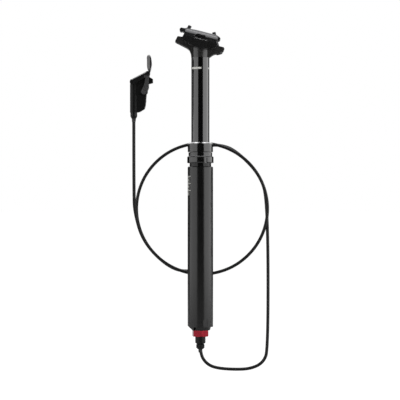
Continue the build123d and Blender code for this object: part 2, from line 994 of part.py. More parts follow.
def air_valve():
    """Air valve in the head's bore, with its threaded stem standing in the pocket."""
    low = inner_top - head_spigot + valve_pocket_d / 2
    stem_low = inner_top + ear_end_round
    stem_r = valve_d / 4
    return turned([
        (0, low),
        (valve_d / 2, low),
        (valve_d / 2, stem_low),
        (stem_r, stem_low),
        (stem_r, stem_low + valve_cap_height - ear_end_round),
        (0, stem_low + valve_cap_height - ear_end_round),
    ])


def valve_cap():
    """Fluted cap over the air valve's stem."""
    low = inner_top + ear_end_round
    stem_r = valve_d / 4 + fit_gap
    body = turned([
        (stem_r, low),
        (valve_cap_d / 2, low),
        (valve_cap_d / 2, low + valve_cap_height - ear_end_round / 2),
        (valve_cap_d / 2 - ear_end_round / 2, low + valve_cap_height),
        (0, low + valve_cap_height),
        (0, low + valve_cap_height - ear_end_round / 2),
        (stem_r, low + valve_cap_height - ear_end_round / 2),
    ])
    flute = ring(ear_end_round / 2, 0, valve_cap_height * 2, low - over)
    for index in range(valve_cap_flutes):
        body -= flute.translate((valve_cap_d / 2 + ear_end_round / 5, 0, 0)).rotate(
            Axis.Z, index * 360 / valve_cap_flutes
        )
    return body


# Remote outlines as shares of the pivot's distance from the barrel, the tab's end or the lever's reach,
# and of the housing's rise above the pivot, the bulge's drop below it or the rise of the lever's neck
bulge_outline_shares = [
    (-0.833, 0.295),
    (-0.778, 0.433),
    (-0.111, 0.695),
    (0.139, 0.69),
    (0.229, -0.102),
    (0.18, -0.374),
    (0.125, -0.643),
    (0.035, -0.777),
    (-0.417, -0.911),
    (-0.6, -0.93),
    (-0.833, -0.93),
]
tab_outline_shares = [
    (-0.427, 0.0),
    (-0.366, 0.26),
    (0.0, 0.53),
    (0.439, 0.695),
    (1.0, 0.554),
    (1.0, 0.39),
    (0.537, 0.34),
    (0.281, 0.0),
]
limb_outline_shares = [
    (-0.141, 0.119),
    (-0.025, 0.297),
    (0.04, 0.446),
    (0.081, 0.669),
    (0.05, 0.886),
    (0.4, 0.93),
    (0.333, 0.743),
    (0.323, 0.446),
    (0.313, 0.19),
    (0.172, -0.09),
]
bridge_outline_shares = [
    (-1.0, 0.494),
    (0.05, 0.886),
    (0.4, 0.915),
    (0.424, 1.03),
    (0.2, 1.03),
    (-0.96, 0.591),
]
skirt_outline_shares = [
    (-1.0, 0.494),
    (0.05, 0.886),
    (0.06, 0.72),
    (-0.3, 0.52),
    (-0.62, 0.4),
    (-0.96, 0.37),
]
paddle_outline_shares = [
    (0.36, 0.97),
    (0.24, 1.1),
    (0.19, 1.38),
    (0.185, 1.62),
    (0.215, 1.8),
    (0.325, 1.87),
    (0.43, 1.8),
    (0.5, 1.62),
    (0.525, 1.38),
    (0.46, 1.1),
]


def housing_outline(shares, reach):
    """Side outline of the housing about the pivot, from its shares."""
    return [(x * reach, z * (housing_rise if z > 0 else bulge_drop)) for x, z in shares]


def at_pivot(shape):
    """Carry a shape from the lever's own frame, with its pivot at the origin, to the remote."""
    return shape.translate((pivot_at_x, 0, pivot_at_z))


def at_barrel(shape):
    """Carry a shape from the barrel's own frame, with its lower end at the origin, to the remote."""
    return shape.translate((barrel_x, 0, barrel_z))


def remote_body():
    """Remote housing: the master barrel, the reservoir's bulge, the pivot boss and the mounting tab."""
    barrel_low = gland_height
    barrel = ring(barrel_od / 2, 0, barrel_height - barrel_low, barrel_low)
    body = at_barrel(barrel)
    outline = housing_outline(bulge_outline_shares, pivot_x)
    core = side_plate(outline, body_width)
    low_side = Box(
        pivot_x * 4, bulge_width * 2, bulge_drop * 2, align=(Align.CENTER, Align.CENTER, Align.MAX)
    )
    sides = side_plate(outline, bulge_width)
    edges = sides.edges().filter_by(lambda edge: abs(edge.center().Y) > bulge_width / 2 - part_gap)
    sides = chamfer(edges, bulge_round / 2) & low_side.translate((0, 0, -bulge_side_drop))
    tab = side_plate(housing_outline(tab_outline_shares, tab_end), body_width)
    boss = y_cylinder(pivot_boss_d / 2, body_width)
    body += at_pivot(core + sides + tab + boss)
    body -= at_pivot(y_cylinder(pivot_pin_d / 2 + fit_gap, bulge_width * 2))
    tapped = Cylinder(tab_hole_d / 2, tab_hole_depth, align=(Align.CENTER, Align.CENTER, Align.MAX))
    body -= at_pivot(tapped.rotate(Axis.Y, 90).translate((tab_end, 0, tab_hole_rise)))
    cup_low = barrel_height - cup_depth
    body -= at_barrel(ring(cup_d / 2, 0, cup_depth + plunger_cap, cup_low))
    body -= at_barrel(ring(barrel_bore_d / 2, 0, barrel_height, gland_height / 2))
    return body - at_barrel(ring(gland_spigot_d / 2 + fit_gap, 0, gland_spigot + over, gland_height - over))


def remote_gland():
    """Tapered hose gland screwed into the barrel's lower end."""
    bore = hose_d / 2 + hose_bore_gap
    top = gland_height + gland_spigot
    return at_barrel(turned([
        (bore, 0),
        (gland_end_d / 2, 0),
        (gland_d / 2, gland_taper),
        (gland_d / 2, gland_height),
        (gland_spigot_d / 2, gland_height),
        (gland_spigot_d / 2, top),
        (spring_wire, top),
        (spring_wire, remote_entry),
        (bore, remote_entry),
    ]))


def plunger_low():
    """Height of the plunger's lower end in the barrel's own frame."""
    return barrel_height - cup_depth + plunger_stroke + part_gap - plunger_length


def plunger():
    """Master plunger with its flat cap in the barrel's cup."""
    cap_low = plunger_low() + plunger_length
    cap_top_z = cap_low + plunger_cap
    cap_r = plunger_cap_d / 2
    return at_barrel(turned([
        (0, plunger_low()),
        (plunger_d / 2, plunger_low()),
        (plunger_d / 2, cap_low),
        (cap_r, cap_low),
        (cap_r, cap_top_z - plunger_edge),
        (cap_r - plunger_edge, cap_top_z),
        (0, cap_top_z),
    ]))


def return_spring():
    """Spring that pushes the plunger and the lever back."""
    low = gland_height + gland_spigot
    return coil(
        return_spring_d,
        plunger_low() - low,
        return_spring_turns,
        spring_wire,
        barrel_z + low,
        barrel_x,
    )


def lever():
    """Thumb lever: two limbs astride the housing, a bridge over the plunger and a dished paddle."""
    inside = body_width + 2 * lever_gap
    outside = inside + 2 * lever_limb
    reach = lever_reach
    rise = lever_neck_rise
    limbs = side_plate([(x * reach, z * rise) for x, z in limb_outline_shares], outside)
    limbs += y_cylinder(lever_hub_d / 2, outside)
    limbs += side_plate([(x * reach, z * rise) for x, z in skirt_outline_shares], outside)
    limbs -= Box(reach * 3, inside, rise * 3)
    bridge = side_plate([(x * reach, z * rise) for x, z in bridge_outline_shares], outside)
    end_edges = bridge.edges().filter_by(Axis.Z, tolerance=lever_edge_lean).group_by(Axis.X)[0]
    bridge = fillet(end_edges, lever_round)
    bridge += y_cylinder(nose_r, outside).translate((-nose_back, 0, nose_rise))
    rim = Spline(*[(x * reach, z * rise) for x, z in paddle_outline_shares], periodic=True)
    blade = extrude(make_face(Plane.XZ * rim), paddle_width / 2, both=True)
    middle = rise + paddle_height / 2
    face = RectangleRounded(paddle_width, paddle_height + lever_round, paddle_round)
    front = extrude(Plane.YZ * face, reach).translate((0, 0, middle))
    neck = Box(reach, outside, paddle_height / 2).translate((reach / 2, 0, rise))
    blade &= front + neck
    dish = y_cylinder(paddle_dish_r, paddle_width * 3 / 4)
    blade -= dish.translate((reach / 5 - paddle_dish_r + paddle_dish, 0, middle))
    body = limbs + bridge + blade
    return at_pivot(body - y_cylinder(pivot_pin_d / 2 + run_gap, outside * 2))


def pivot_pin():
    """Pivot pin of the lever, through the housing's boss."""
    length = body_width + 2 * (lever_gap + lever_limb)
    body = y_cylinder(pivot_pin_d / 2, length)
    return at_pivot(chamfer(body.edges().filter_by(GeomType.CIRCLE), part_gap))


def reservoir_cover():
    """Round cover of the reservoir's diaphragm on the housing's far side."""
    body = Cylinder(cover_d / 2, cover_height, align=(Align.CENTER, Align.CENTER, Align.MIN))
    body = chamfer(body.edges().group_by(Axis.Z)[-1], cover_height / 4)
    body = body.rotate(Axis.X, -90)
    return at_pivot(body.translate((-pivot_x / 5, bulge_width / 2, -cover_drop)))


def bleed_screw():
    """Bleed port screw below the cover, on the housing's far side."""
    body = Cylinder(bleed_d / 2, bleed_height, align=(Align.CENTER, Align.CENTER, Align.MIN))
    socket = extrude(RegularPolygon(bleed_socket / 2, 6, major_radius=False), bleed_height)
    body -= socket.translate((0, 0, bleed_height / 2))
    body = body.rotate(Axis.X, -90)
    return at_pivot(body.translate((-pivot_x * 2 / 5, bulge_width / 2, -bleed_drop)))


def hose_radii():
    """Largest tangent arc at each corner of the route that its two runs leave room for."""
    radii = []
    corners = [Vector(*point) for point in hose_points]
    for before, here, after in zip(corners, corners[1:], corners[2:]):
        first = here - before
        second = after - here
        turn = math.radians(first.get_angle(second))
        shorter = min(first.length, second.length)
        radii.append(hose_arc_share * shorter / math.tan(turn / 2))
    return radii


def hose_gap(path):
    """Least gap between stretches of the hose that lie apart along its length."""
    count = round(path.length / (hose_d / 2))
    points = [path @ (index / count) for index in range(count + 1)]
    apart = 16
    least = path.length
    for first in range(len(points) - apart):
        for second in range(first + apart, len(points)):
            least = min(least, (points[first] - points[second]).length)
    return least - hose_d


def hose():
    """Hose swept along its route, straight runs joined by tangent arcs."""
    radii = hose_radii()
    path = FilletPolyline(*hose_points, radius=radii)
    section = Plane(origin=path @ 0, z_dir=path % 0) * Circle(hose_d / 2)
    body = sweep(section, path)
    plain = math.pi * hose_d**2 / 4 * path.length
    print("hose length", round(path.length, 1), "volume share", round(body.volume / plain, 4))
    print("hose radii", [round(radius, 1) for radius in radii])
    print("hose least gap to itself", round(hose_gap(path), 2))
    return body


os.makedirs("parts", exist_ok=True)

# Outer body
save(outer_tube(), "outer_tube")
save(foot_cap(), "foot_cap")
save(foot_ring(), "foot_ring")
save(shaft(), "shaft")
save(main_piston(), "main_piston")
save(piston_seal(), "piston_seal")
save(piston_nut(), "piston_nut")
save(collar(), "collar")
save(collar_band(), "collar_band")
save(lock_ring(), "lock_ring")
save(seal_cap(), "seal_cap")
save(wiper_seal(), "wiper_seal")
save(foam_ring(), "foam_ring")
save(upper_bushing(), "upper_bushing")
save(coupling(), "coupling")
save(hose_fitting(), "hose_fitting")
save(hose_nut(), "hose_nut")
save(hose(), "hose")

# Poppet valve
save(poppet(), "poppet")
save(poppet_spring(), "poppet_spring")

# Inner body
save(inner_tube(), "inner_tube")
save(head(), "head")
save(guide_keys(), "guide_keys")
save(lower_bushing(), "lower_bushing")
save(seal_head(), "seal_head")
save(rod_seal(), "rod_seal")
save(air_valve(), "air_valve")
save(valve_cap(), "valve_cap")
save(floating_piston(), "floating_piston")
save(floating_seal(), "floating_seal")

# Rail clamp and its bolts
save(lower_clamp(), "lower_clamp")
save(upper_clamp(), "upper_clamp")
save(clamp_bolt(False), "rear_bolt")
save(clamp_bolt(True), "front_bolt")
save(half_washer(False), "rear_washer")
save(half_washer(True), "front_washer")
save(barrel_nut(False), "rear_nut")
save(barrel_nut(True), "front_nut")

# Remote
save(remote_body(), "remote_body")
save(remote_gland(), "remote_gland")
save(reservoir_cover(), "reservoir_cover")
save(bleed_screw(), "bleed_screw")
save(pivot_pin(), "pivot_pin")
save(plunger(), "plunger")
save(return_spring(), "return_spring")
save(lever(), "lever")
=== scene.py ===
import json
import math

import bmesh
import bpy
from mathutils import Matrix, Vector

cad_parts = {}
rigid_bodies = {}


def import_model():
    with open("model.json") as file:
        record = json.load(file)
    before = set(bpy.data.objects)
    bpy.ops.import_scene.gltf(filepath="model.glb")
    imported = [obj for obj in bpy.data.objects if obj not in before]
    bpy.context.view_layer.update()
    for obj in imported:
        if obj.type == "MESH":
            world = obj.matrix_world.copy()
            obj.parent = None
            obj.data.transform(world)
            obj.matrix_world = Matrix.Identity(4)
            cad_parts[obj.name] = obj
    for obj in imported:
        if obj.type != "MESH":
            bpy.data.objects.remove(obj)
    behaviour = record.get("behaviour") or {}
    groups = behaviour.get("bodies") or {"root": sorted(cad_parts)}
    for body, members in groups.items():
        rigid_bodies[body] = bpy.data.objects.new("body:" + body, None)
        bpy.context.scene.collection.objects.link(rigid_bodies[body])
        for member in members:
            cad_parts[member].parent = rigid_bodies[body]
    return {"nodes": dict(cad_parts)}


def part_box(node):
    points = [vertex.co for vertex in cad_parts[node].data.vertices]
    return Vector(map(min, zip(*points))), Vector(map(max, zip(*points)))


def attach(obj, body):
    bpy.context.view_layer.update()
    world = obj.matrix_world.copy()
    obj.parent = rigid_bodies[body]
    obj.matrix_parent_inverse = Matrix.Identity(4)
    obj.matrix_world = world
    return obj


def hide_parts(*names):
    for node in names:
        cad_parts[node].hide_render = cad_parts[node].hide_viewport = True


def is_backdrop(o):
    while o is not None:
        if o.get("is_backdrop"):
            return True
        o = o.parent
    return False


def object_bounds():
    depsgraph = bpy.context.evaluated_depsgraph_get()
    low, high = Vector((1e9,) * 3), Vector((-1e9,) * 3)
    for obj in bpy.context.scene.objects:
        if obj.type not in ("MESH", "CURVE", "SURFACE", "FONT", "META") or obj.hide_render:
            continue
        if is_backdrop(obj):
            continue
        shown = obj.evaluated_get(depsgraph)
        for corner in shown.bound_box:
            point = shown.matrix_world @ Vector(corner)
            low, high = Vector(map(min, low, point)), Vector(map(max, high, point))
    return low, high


bl_info = {
    "name": "Dropper seatpost",
    "version": (1, 0, 0),
    "blender": (4, 5, 0),
    "location": "View3D > Sidebar > Seatpost",
    "description": "Dresses the packed dropper seatpost with its hose, finishes and printed marks",
    "category": "Object",
}

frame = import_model()
nodes = frame["nodes"]
cad_low, cad_high = (Vector(corner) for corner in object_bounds())
mm = 0.001

# How near a corner of a packed mesh lies to the face it belongs to
touch = 0.00003

# Grains and reliefs of the finishes: blasting, clouds in a coat, mould skin, ink, extruded nylon
blast_grain = 0.00016
blast_depth = 0.000002
metal_cloud = 0.012
turned_cloud = 0.006
skin_grain = 0.0003
skin_depth = 0.00001
ink_grain = 0.0002
nylon_grain = 0.0005
nylon_depth = 0.000003

# Cutting rings of turned pieces, and how much they waver
ring_pitch = 0.0003
ring_depth = 0.000004
ring_waver = 0.00004
collar_pitch = 0.0004

# Colours of the seal cap's uncoated metal lip and of the painted highlight on the clamp's low rib,
# which lies in shade
bare_metal = (0.42, 0.42, 0.425, 1.0)
painted_rib_highlight = (0.8, 0.8, 0.8, 1.0)

# Soft panels: azimuth from the camera's side and elevation in degrees, and width. The stage's
# properties give each one's brightness.
panels = {
    "left": (-70.0, 0.0, 2.6),
    "right": (76.0, 0.0, 2.8),
    "top": (0.0, 72.0, 1.8),
    "rear": (180.0, 56.0, 1.8),
}
panel_middle = Vector((0, 0, 0.2))
low_panel = 45.0

# Floor: its side, its own grey, and how white and how much of it the camera sees
floor_side = 60.0
floor_grey = (0.45, 0.45, 0.45, 1.0)
floor_white = 1.13
floor_share = 0.9

# Reflected backdrop: where it begins and is full towards the rear, its brightness there and elsewhere
backdrop_from = 0.86
backdrop_full = 0.97
backdrop_bright = 0.9
backdrop_dim = 0.02

# Printed marks: the depth scale's ticks and the inner tube's bands, round the tube in degrees
scale_start = 180.0
long_tick = 40.0
short_tick = 30.0
long_every = 5
tick_tall = 0.0007
height_bands = {
    "height_line": (204.0, 276.0, 0.0026),
    "height_point": (330.0, 340.0, 0.0022),
}

# Route of the hose in millimetres, from the remote to the foot, as in the part's source
hose_route = [
    (-91.0, 0.0, 286.0),
    (-91.0, 0.0, 240.3),
    (-91.0, 5.0, 185.6),
    (-90.7, 12.0, 155.1),
    (-78.5, 17.0, 113.3),
    (-44.4, 20.1, 79.0),
    (2.2, 20.6, 66.5),
    (48.9, 20.1, 79.0),
    (83.1, 18.4, 113.2),
    (95.7, 17.0, 159.9),
    (83.1, 18.4, 206.6),
    (48.9, 20.1, 240.8),
    (2.2, 20.6, 253.3),
    (-44.5, 21.2, 240.8),
    (-78.7, 23.0, 206.6),
    (-91.3, 24.8, 159.9),
    (-78.8, 26.0, 113.1),
    (-44.6, 26.6, 78.8),
    (-16.0, 26.8, 71.5),
    (5.0, 26.9, 84.0),
    (8.0, 27.0, 110.0),
    (3.0, 26.6, 158.0),
    (-7.0, 26.6, 202.0),
    (-9.5, 26.8, 226.0),
    (7.0, 26.8, 246.5),
    (27.0, 26.7, 248.5),
    (48.9, 26.4, 240.8),
    (83.0, 25.8, 206.5),
    (93.3, 25.0, 168.8),
    (92.9, 2.0, -31.9),
    (86.3, 1.0, -50.5),
    (68.5, 0.6, -59.1),
    (43.0, 0.4, -59.8),
    (19.0, 0.2, -57.4),
    (7.0, 0.1, -50.6),
    (0.0, 0.0, -38.4),
    (0.0, 0.0, -24.4),
]


class SeatpostStage(bpy.types.PropertyGroup):
    """Camera, lamps and floor."""

    camera_distance: bpy.props.FloatProperty(
        name="Camera distance", description="From the post's axis to the camera",
        default=2.3, min=0.5, unit="LENGTH")
    view_width: bpy.props.FloatProperty(
        name="View width", description="Width that the picture covers at the post's axis",
        default=0.547, min=0.1, unit="LENGTH")
    aim: bpy.props.FloatVectorProperty(
        name="Aim", description="Point in the middle of the picture",
        default=(-0.0005, 0.0, 0.1719), subtype="TRANSLATION")
    floor_drop: bpy.props.FloatProperty(
        name="Floor drop", description="How far the floor lies below the hose",
        default=0.002, min=0.0, unit="LENGTH")
    lamp_distance: bpy.props.FloatProperty(
        name="Lamp distance", description="From the post's axis to the soft lamps",
        default=1.5, min=0.3, unit="LENGTH")
    lamp_height: bpy.props.FloatProperty(
        name="Lamp height", description="Height of the side lamps' panels",
        default=1.7, min=0.2, unit="LENGTH")
    left_brightness: bpy.props.FloatProperty(
        name="Left lamp", description="Brightness of the left panel, where 1 is white",
        default=1.6, min=0.0)
    right_brightness: bpy.props.FloatProperty(
        name="Right lamp", description="Brightness of the right panel, where 1 is white",
        default=2.3, min=0.0)
    top_brightness: bpy.props.FloatProperty(
        name="Top lamp", description="Brightness of the overhead panel, where 1 is white",
        default=1.9, min=0.0)
    rear_brightness: bpy.props.FloatProperty(
        name="Rear lamp", description="Brightness of the panel above and behind, where 1 is white",
        default=1.8, min=0.0)
    room_brightness: bpy.props.FloatProperty(
        name="Room light", description="Even light from all round, where 1 is white",
        default=0.22, min=0.0)


class SeatpostHose(bpy.types.PropertyGroup):
    """The hydraulic hose and its end sleeves."""

    diameter: bpy.props.FloatProperty(
        name="Diameter", description="Outside diameter of the hose",
        default=0.0044, min=0.002, unit="LENGTH")
    length: bpy.props.FloatProperty(
        name="Length", description="Length of the hose from end to end",
        default=1.47, min=0.1, unit="LENGTH")
    sleeve_length: bpy.props.FloatProperty(
        name="Sleeve length", description="Length of the tapered sleeve at each end",
        default=0.0048, min=0.001, unit="LENGTH")


class SeatpostFinish(bpy.types.PropertyGroup):
    """Colours and roundings of the metal parts."""

    tube_black: bpy.props.FloatVectorProperty(
        name="Outer tube", description="Colour of the outer tube's satin coat",
        default=(0.001, 0.001, 0.00095), subtype="COLOR")
    gloss_black: bpy.props.FloatVectorProperty(
        name="Inner tube", description="Colour of the inner tube's gloss coat",
        default=(0.0012, 0.0012, 0.0012), subtype="COLOR")
    forged_black: bpy.props.FloatVectorProperty(
        name="Head", description="Colour of the forged head",
        default=(0.018, 0.0175, 0.017), subtype="COLOR")
    clamp_black: bpy.props.FloatVectorProperty(
        name="Lower clamp and housing",
        description="Colour of the lower clamp and the remote's housing",
        default=(0.006, 0.006, 0.006), subtype="COLOR")
    jaw_grey: bpy.props.FloatVectorProperty(
        name="Upper clamp", description="Colour of the upper clamp's anodised metal",
        default=(0.095, 0.095, 0.097), subtype="COLOR")
    anodised_red: bpy.props.FloatVectorProperty(
        name="Coupling", description="Colour of the hexagonal coupling",
        default=(0.3, 0.015, 0.028), subtype="COLOR")
    hose_black: bpy.props.FloatVectorProperty(
        name="Hose", description="Colour of the hose",
        default=(0.004, 0.004, 0.004), subtype="COLOR")
    print_pale: bpy.props.FloatVectorProperty(
        name="Printed marks", description="Colour of the printed marks",
        default=(0.62, 0.62, 0.58), subtype="COLOR")
    edge_round: bpy.props.FloatProperty(
        name="Edge rounding", description="Rounding of the forged parts' edges",
        default=0.0007, min=0.0001, unit="LENGTH")
    jaw_round: bpy.props.FloatProperty(
        name="Jaw rounding", description="Rounding of the upper clamp's outer rims over the rails",
        default=0.0055, min=0.0001, unit="LENGTH")
    clamp_centre: bpy.props.FloatVectorProperty(
        name="Clamp centre", description="Middle of the clamp, between the two rails",
        default=(0.0, 0.0, 0.3899), subtype="TRANSLATION")
    clamp_tilt: bpy.props.FloatProperty(
        name="Clamp tilt", description="Tilt of the clamp as it lies, in degrees",
        default=14.2)
    jaw_gap: bpy.props.FloatProperty(
        name="Jaw gap", description="Gap between the clamp's halves as packed",
        default=0.0016, min=0.0001, unit="LENGTH")
    groove_side: bpy.props.FloatProperty(
        name="Groove side",
        description="Distance from the middle to just inside the rail grooves' inner walls",
        default=0.0185, min=0.01, unit="LENGTH")
    cradle_rise: bpy.props.FloatProperty(
        name="Cradle rise", description="Rise of the cradle's axis above the rails' middle",
        default=0.0353, unit="LENGTH")
    cradle_radius: bpy.props.FloatProperty(
        name="Cradle radius", description="Radius of the cradle in the head as packed",
        default=0.0479, min=0.001, unit="LENGTH")
    cradle_gap: bpy.props.FloatProperty(
        name="Cradle gap", description="Gap between the cradle and the clamp as packed",
        default=0.0003, min=0.00001, unit="LENGTH")
    seam: bpy.props.FloatProperty(
        name="Seam", description="Gap left between the cradle and the clamp",
        default=0.0001, min=0.00001, unit="LENGTH")
    jaw_seam: bpy.props.FloatProperty(
        name="Jaw seam", description="Gap left between the clamp's two halves",
        default=0.00002, min=0.00001, unit="LENGTH")
    ridge_half: bpy.props.FloatProperty(
        name="Ridge half width", description="From the clamp's middle to the side of its ridge",
        default=0.0095, min=0.001, unit="LENGTH")
    ridge_top: bpy.props.FloatProperty(
        name="Ridge top", description="Rise of the ridge's top above the rails' middle",
        default=0.0124, min=0.001, unit="LENGTH")
    ridge_round: bpy.props.FloatProperty(
        name="Ridge rounding", description="Rounding of the ridge's upper rims",
        default=0.0036, min=0.0001, unit="LENGTH")
    jaw_top: bpy.props.FloatProperty(
        name="Jaw top", description="Rise of the jaws' top above the rails' middle",
        default=0.00848, min=0.001, unit="LENGTH")
    bridge_rim: bpy.props.FloatVectorProperty(
        name="Bridge rim", description="Middle of the lever bridge's upper rim",
        default=(-0.0841, 0.00815, 0.3418), subtype="TRANSLATION")
    bridge_slope: bpy.props.FloatProperty(
        name="Bridge slope", description="Rise of the bridge towards the paddle, in degrees",
        default=27.2)
    bridge_length: bpy.props.FloatProperty(
        name="Bridge length", description="Length of the facets on the bridge",
        default=0.0225, min=0.001, unit="LENGTH")
    bridge_facet: bpy.props.FloatProperty(
        name="Bridge facet", description="How deep the bridge's rims are cut",
        default=0.0009, min=0.0001, unit="LENGTH")
    facet_edge: bpy.props.FloatProperty(
        name="Facet edge", description="Place of the edge between the paddle's side and its facet",
        default=-0.0694, unit="LENGTH")
    facet_low: bpy.props.FloatProperty(
        name="Facet foot", description="Height at which the paddle's facets begin",
        default=0.3478, unit="LENGTH")
    facet_turn: bpy.props.FloatProperty(
        name="Facet turn", description="Turn of the paddle's facets towards the thumb, in degrees",
        default=30.0, min=0.0, max=80.0)


class SeatpostMarks(bpy.types.PropertyGroup):
    """Printed marks on the two tubes."""

    tick_count: bpy.props.IntProperty(
        name="Depth ticks", description="Number of ticks in the outer tube's depth scale",
        default=14, min=2)
    tick_top: bpy.props.FloatProperty(
        name="Top tick", description="Height of the highest tick",
        default=0.2042, unit="LENGTH")
    tick_pitch: bpy.props.FloatProperty(
        name="Tick pitch", description="Distance from tick to tick",
        default=0.00195, min=0.0005, unit="LENGTH")
    line_height: bpy.props.FloatProperty(
        name="Line height", description="Height of the line on the inner tube",
        default=0.3517, unit="LENGTH")
    ink: bpy.props.FloatProperty(
        name="Ink", description="Thickness of the printed ink",
        default=0.00002, min=0.000005, unit="LENGTH")


class Number:
    """A number in a finish's nodes, so that sums on it are written as sums."""

    def __init__(self, finish, socket):
        self.finish = finish
        self.socket = socket

    def sum_node(self, operation, first, second):
        """Math node of one operation, as a number."""
        node = self.finish.add("ShaderNodeMath", {"operation": operation}, {0: first, 1: second})
        return Number(self.finish, node.outputs[0])

    def __add__(self, other):
        return self.sum_node("ADD", self, other)

    def __sub__(self, other):
        return self.sum_node("SUBTRACT", self, other)

    def __rsub__(self, other):
        return self.sum_node("SUBTRACT", other, self)

    def __mul__(self, other):
        return self.sum_node("MULTIPLY", self, other)


class Finish:
    """A material's node tree with the few steps that the finishes share."""

    def __init__(self, tree):
        self.tree = tree
        self.tree.nodes.clear()

    def add(self, kind, settings=None, inputs=None):
        """Add one node: its settings first, then the values or links of its sockets."""
        node = self.tree.nodes.new(kind)
        for name, value in (settings or {}).items():
            setattr(node, name, value)
        for name, value in (inputs or {}).items():
            socket = node.inputs[name]
            if isinstance(value, Number):
                self.tree.links.new(value.socket, socket)
            elif isinstance(value, bpy.types.NodeSocket):
                self.tree.links.new(value, socket)
            else:
                socket.default_value = value
        return node

    def place(self, stretch=(1.0, 1.0, 1.0)):
        """Object coordinates, stretched along the three axes."""
        coordinates = self.add("ShaderNodeTexCoord")
        mapping = self.add("ShaderNodeMapping", None, {
            "Vector": coordinates.outputs["Object"],
            "Scale": stretch,
        })
        return mapping.outputs[0]

    def noise(self, grain, detail=2.0, stretch=(1.0, 1.0, 1.0)):
        """Noise whose spots are about grain metres across."""
        node = self.add("ShaderNodeTexNoise", None, {
            "Vector": self.place(stretch),
            "Scale": 1 / grain,
            "Detail": detail,
        })
        return Number(self, node.outputs["Fac"])

    def axis_parts(self):
        """The three Object coordinates as numbers."""
        node = self.add("ShaderNodeSeparateXYZ", None, {"Vector": self.place()})
        return [Number(self, socket) for socket in node.outputs]

    def between(self, value, low, high):
        """Smooth step of a number from 0 at low to 1 at high."""
        node = self.add("ShaderNodeMapRange", {"interpolation_type": "SMOOTHSTEP"}, {
            "Value": value,
            "From Min": low,
            "From Max": high,
        })
        return Number(self, node.outputs[0])

    def wave(self, value, pitch):
        """Ripples of a length that repeat every pitch."""
        node = self.add("ShaderNodeMath", {"operation": "SINE"}, {0: value * (2 * math.pi / pitch)})
        return Number(self, node.outputs[0])

    def mix(self, share, first, second):
        """Colour that goes from first to second."""
        node = self.add("ShaderNodeMix", {"data_type": "RGBA"}, {0: share, 6: first, 7: second})
        return node.outputs[2]

    def bump(self, height, depth):
        """Relief from a number between 0 and 1, depth metres high."""
        node = self.add("ShaderNodeBump", None, {"Height": height, "Distance": depth, "Strength": 1.0})
        return node.outputs[0]

    def surface(self, **inputs):
        """Principled shader and the material's output."""
        named = {}
        for name, value in inputs.items():
            named[name.replace("_", " ").title().replace("Ior", "IOR")] = value
        shader = self.add("ShaderNodeBsdfPrincipled", None, named)
        self.add("ShaderNodeOutputMaterial", None, {"Surface": shader.outputs[0]})


def shade(color, share):
    """The colour times a share, with its alpha."""
    return tuple(channel * share for channel in color) + (1.0,)


def material_with(name):
    """New material and the finish that fills its nodes."""
    material = bpy.data.materials.new(name)
    material.use_nodes = True
    return material, Finish(material.node_tree)


def blasted(name, color, roughness, metallic=0.0, coat=0.0, shine=0.5):
    """Blasted and anodised metal: a fine even grain with faint clouds in its colour."""
    material, finish = material_with(name)
    fine = finish.noise(blast_grain)
    cloud = finish.noise(metal_cloud, 3.0)
    finish.surface(
        base_color=finish.mix(cloud, shade(color, 0.86), shade(color, 1.16)),
        roughness=fine * 0.1 + cloud * 0.06 + (roughness - 0.08),
        metallic=metallic,
        specular_ior_level=shine,
        coat_weight=coat,
        coat_roughness=0.16,
        normal=finish.bump(fine, blast_depth),
    )
    return material


def drawn(name, color, roughness, coat=0.0, depth=blast_depth):
    """Drawn tube: faint lines along its length under an even coat."""
    material, finish = material_with(name)
    lines = finish.noise(grain=0.0005, stretch=(1.0, 1.0, 0.02))
    cloud = finish.noise(grain=0.02, stretch=(1.0, 1.0, 0.3))
    fine = finish.noise(grain=0.00022)
    finish.surface(
        base_color=finish.mix(cloud, shade(color, 0.88), shade(color, 1.12)),
        roughness=lines * 0.05 + cloud * 0.04 + (roughness - 0.045),
        coat_weight=coat,
        coat_roughness=0.06,
        normal=finish.bump(lines * 0.5 + fine * 0.5, depth),
    )
    return material


def turned(name, color, roughness, metallic=0.0, shine=0.5):
    """Turned metal: fine cutting rings round the post's axis."""
    material, finish = material_with(name)
    up = finish.axis_parts()[2]
    waver = finish.noise(grain=0.004)
    rings = finish.wave(up + waver * ring_waver, ring_pitch)
    cloud = finish.noise(turned_cloud, 3.0)
    finish.surface(
        base_color=finish.mix(cloud, shade(color, 0.85), shade(color, 1.15)),
        roughness=rings * 0.03 + cloud * 0.08 + (roughness - 0.04),
        metallic=metallic,
        specular_ior_level=shine,
        normal=finish.bump(rings * 0.5 + 0.5, ring_depth),
    )
    return material


def turned_collar(name, color, bare_from=10.0, painted_shade_top=-10.0):
    """Glossy turned black that is uncoated metal above one height, and dull without its coat below
    another as painted shade.
    """
    material, finish = material_with(name)
    up = finish.axis_parts()[2]
    rings = finish.wave(up, collar_pitch)
    cloud = finish.noise(turned_cloud, 3.0)
    edge = 0.0002
    bare_lip_and_rib_highlight = finish.between(up, bare_from, bare_from + edge)
    # Below this height the coat is taken off, so the neck shows darker: painted shade for its recess
    shiny = finish.between(up, painted_shade_top, painted_shade_top + edge)
    black = finish.mix(cloud, shade(color, 0.85), shade(color, 1.15))
    finish.surface(
        base_color=finish.mix(bare_lip_and_rib_highlight, black, bare_metal),
        roughness=rings * 0.01 + cloud * 0.06 + 0.16,
        metallic=bare_lip_and_rib_highlight,
        specular_ior_level=0.3,
        coat_weight=shiny * 0.9,
        coat_roughness=0.07,
        normal=finish.bump(rings * 0.5 + 0.5, ring_depth / 2),
    )
    return material


def moulded(name, color, roughness):
    """Moulded plastic or rubber: a dull skin with a soft grain."""
    material, finish = material_with(name)
    fine = finish.noise(skin_grain, 4.0)
    cloud = finish.noise(grain=0.008)
    finish.surface(
        base_color=finish.mix(cloud, shade(color, 0.9), shade(color, 1.12)),
        roughness=fine * 0.12 + (roughness - 0.06),
        normal=finish.bump(fine, skin_depth),
    )
    return material


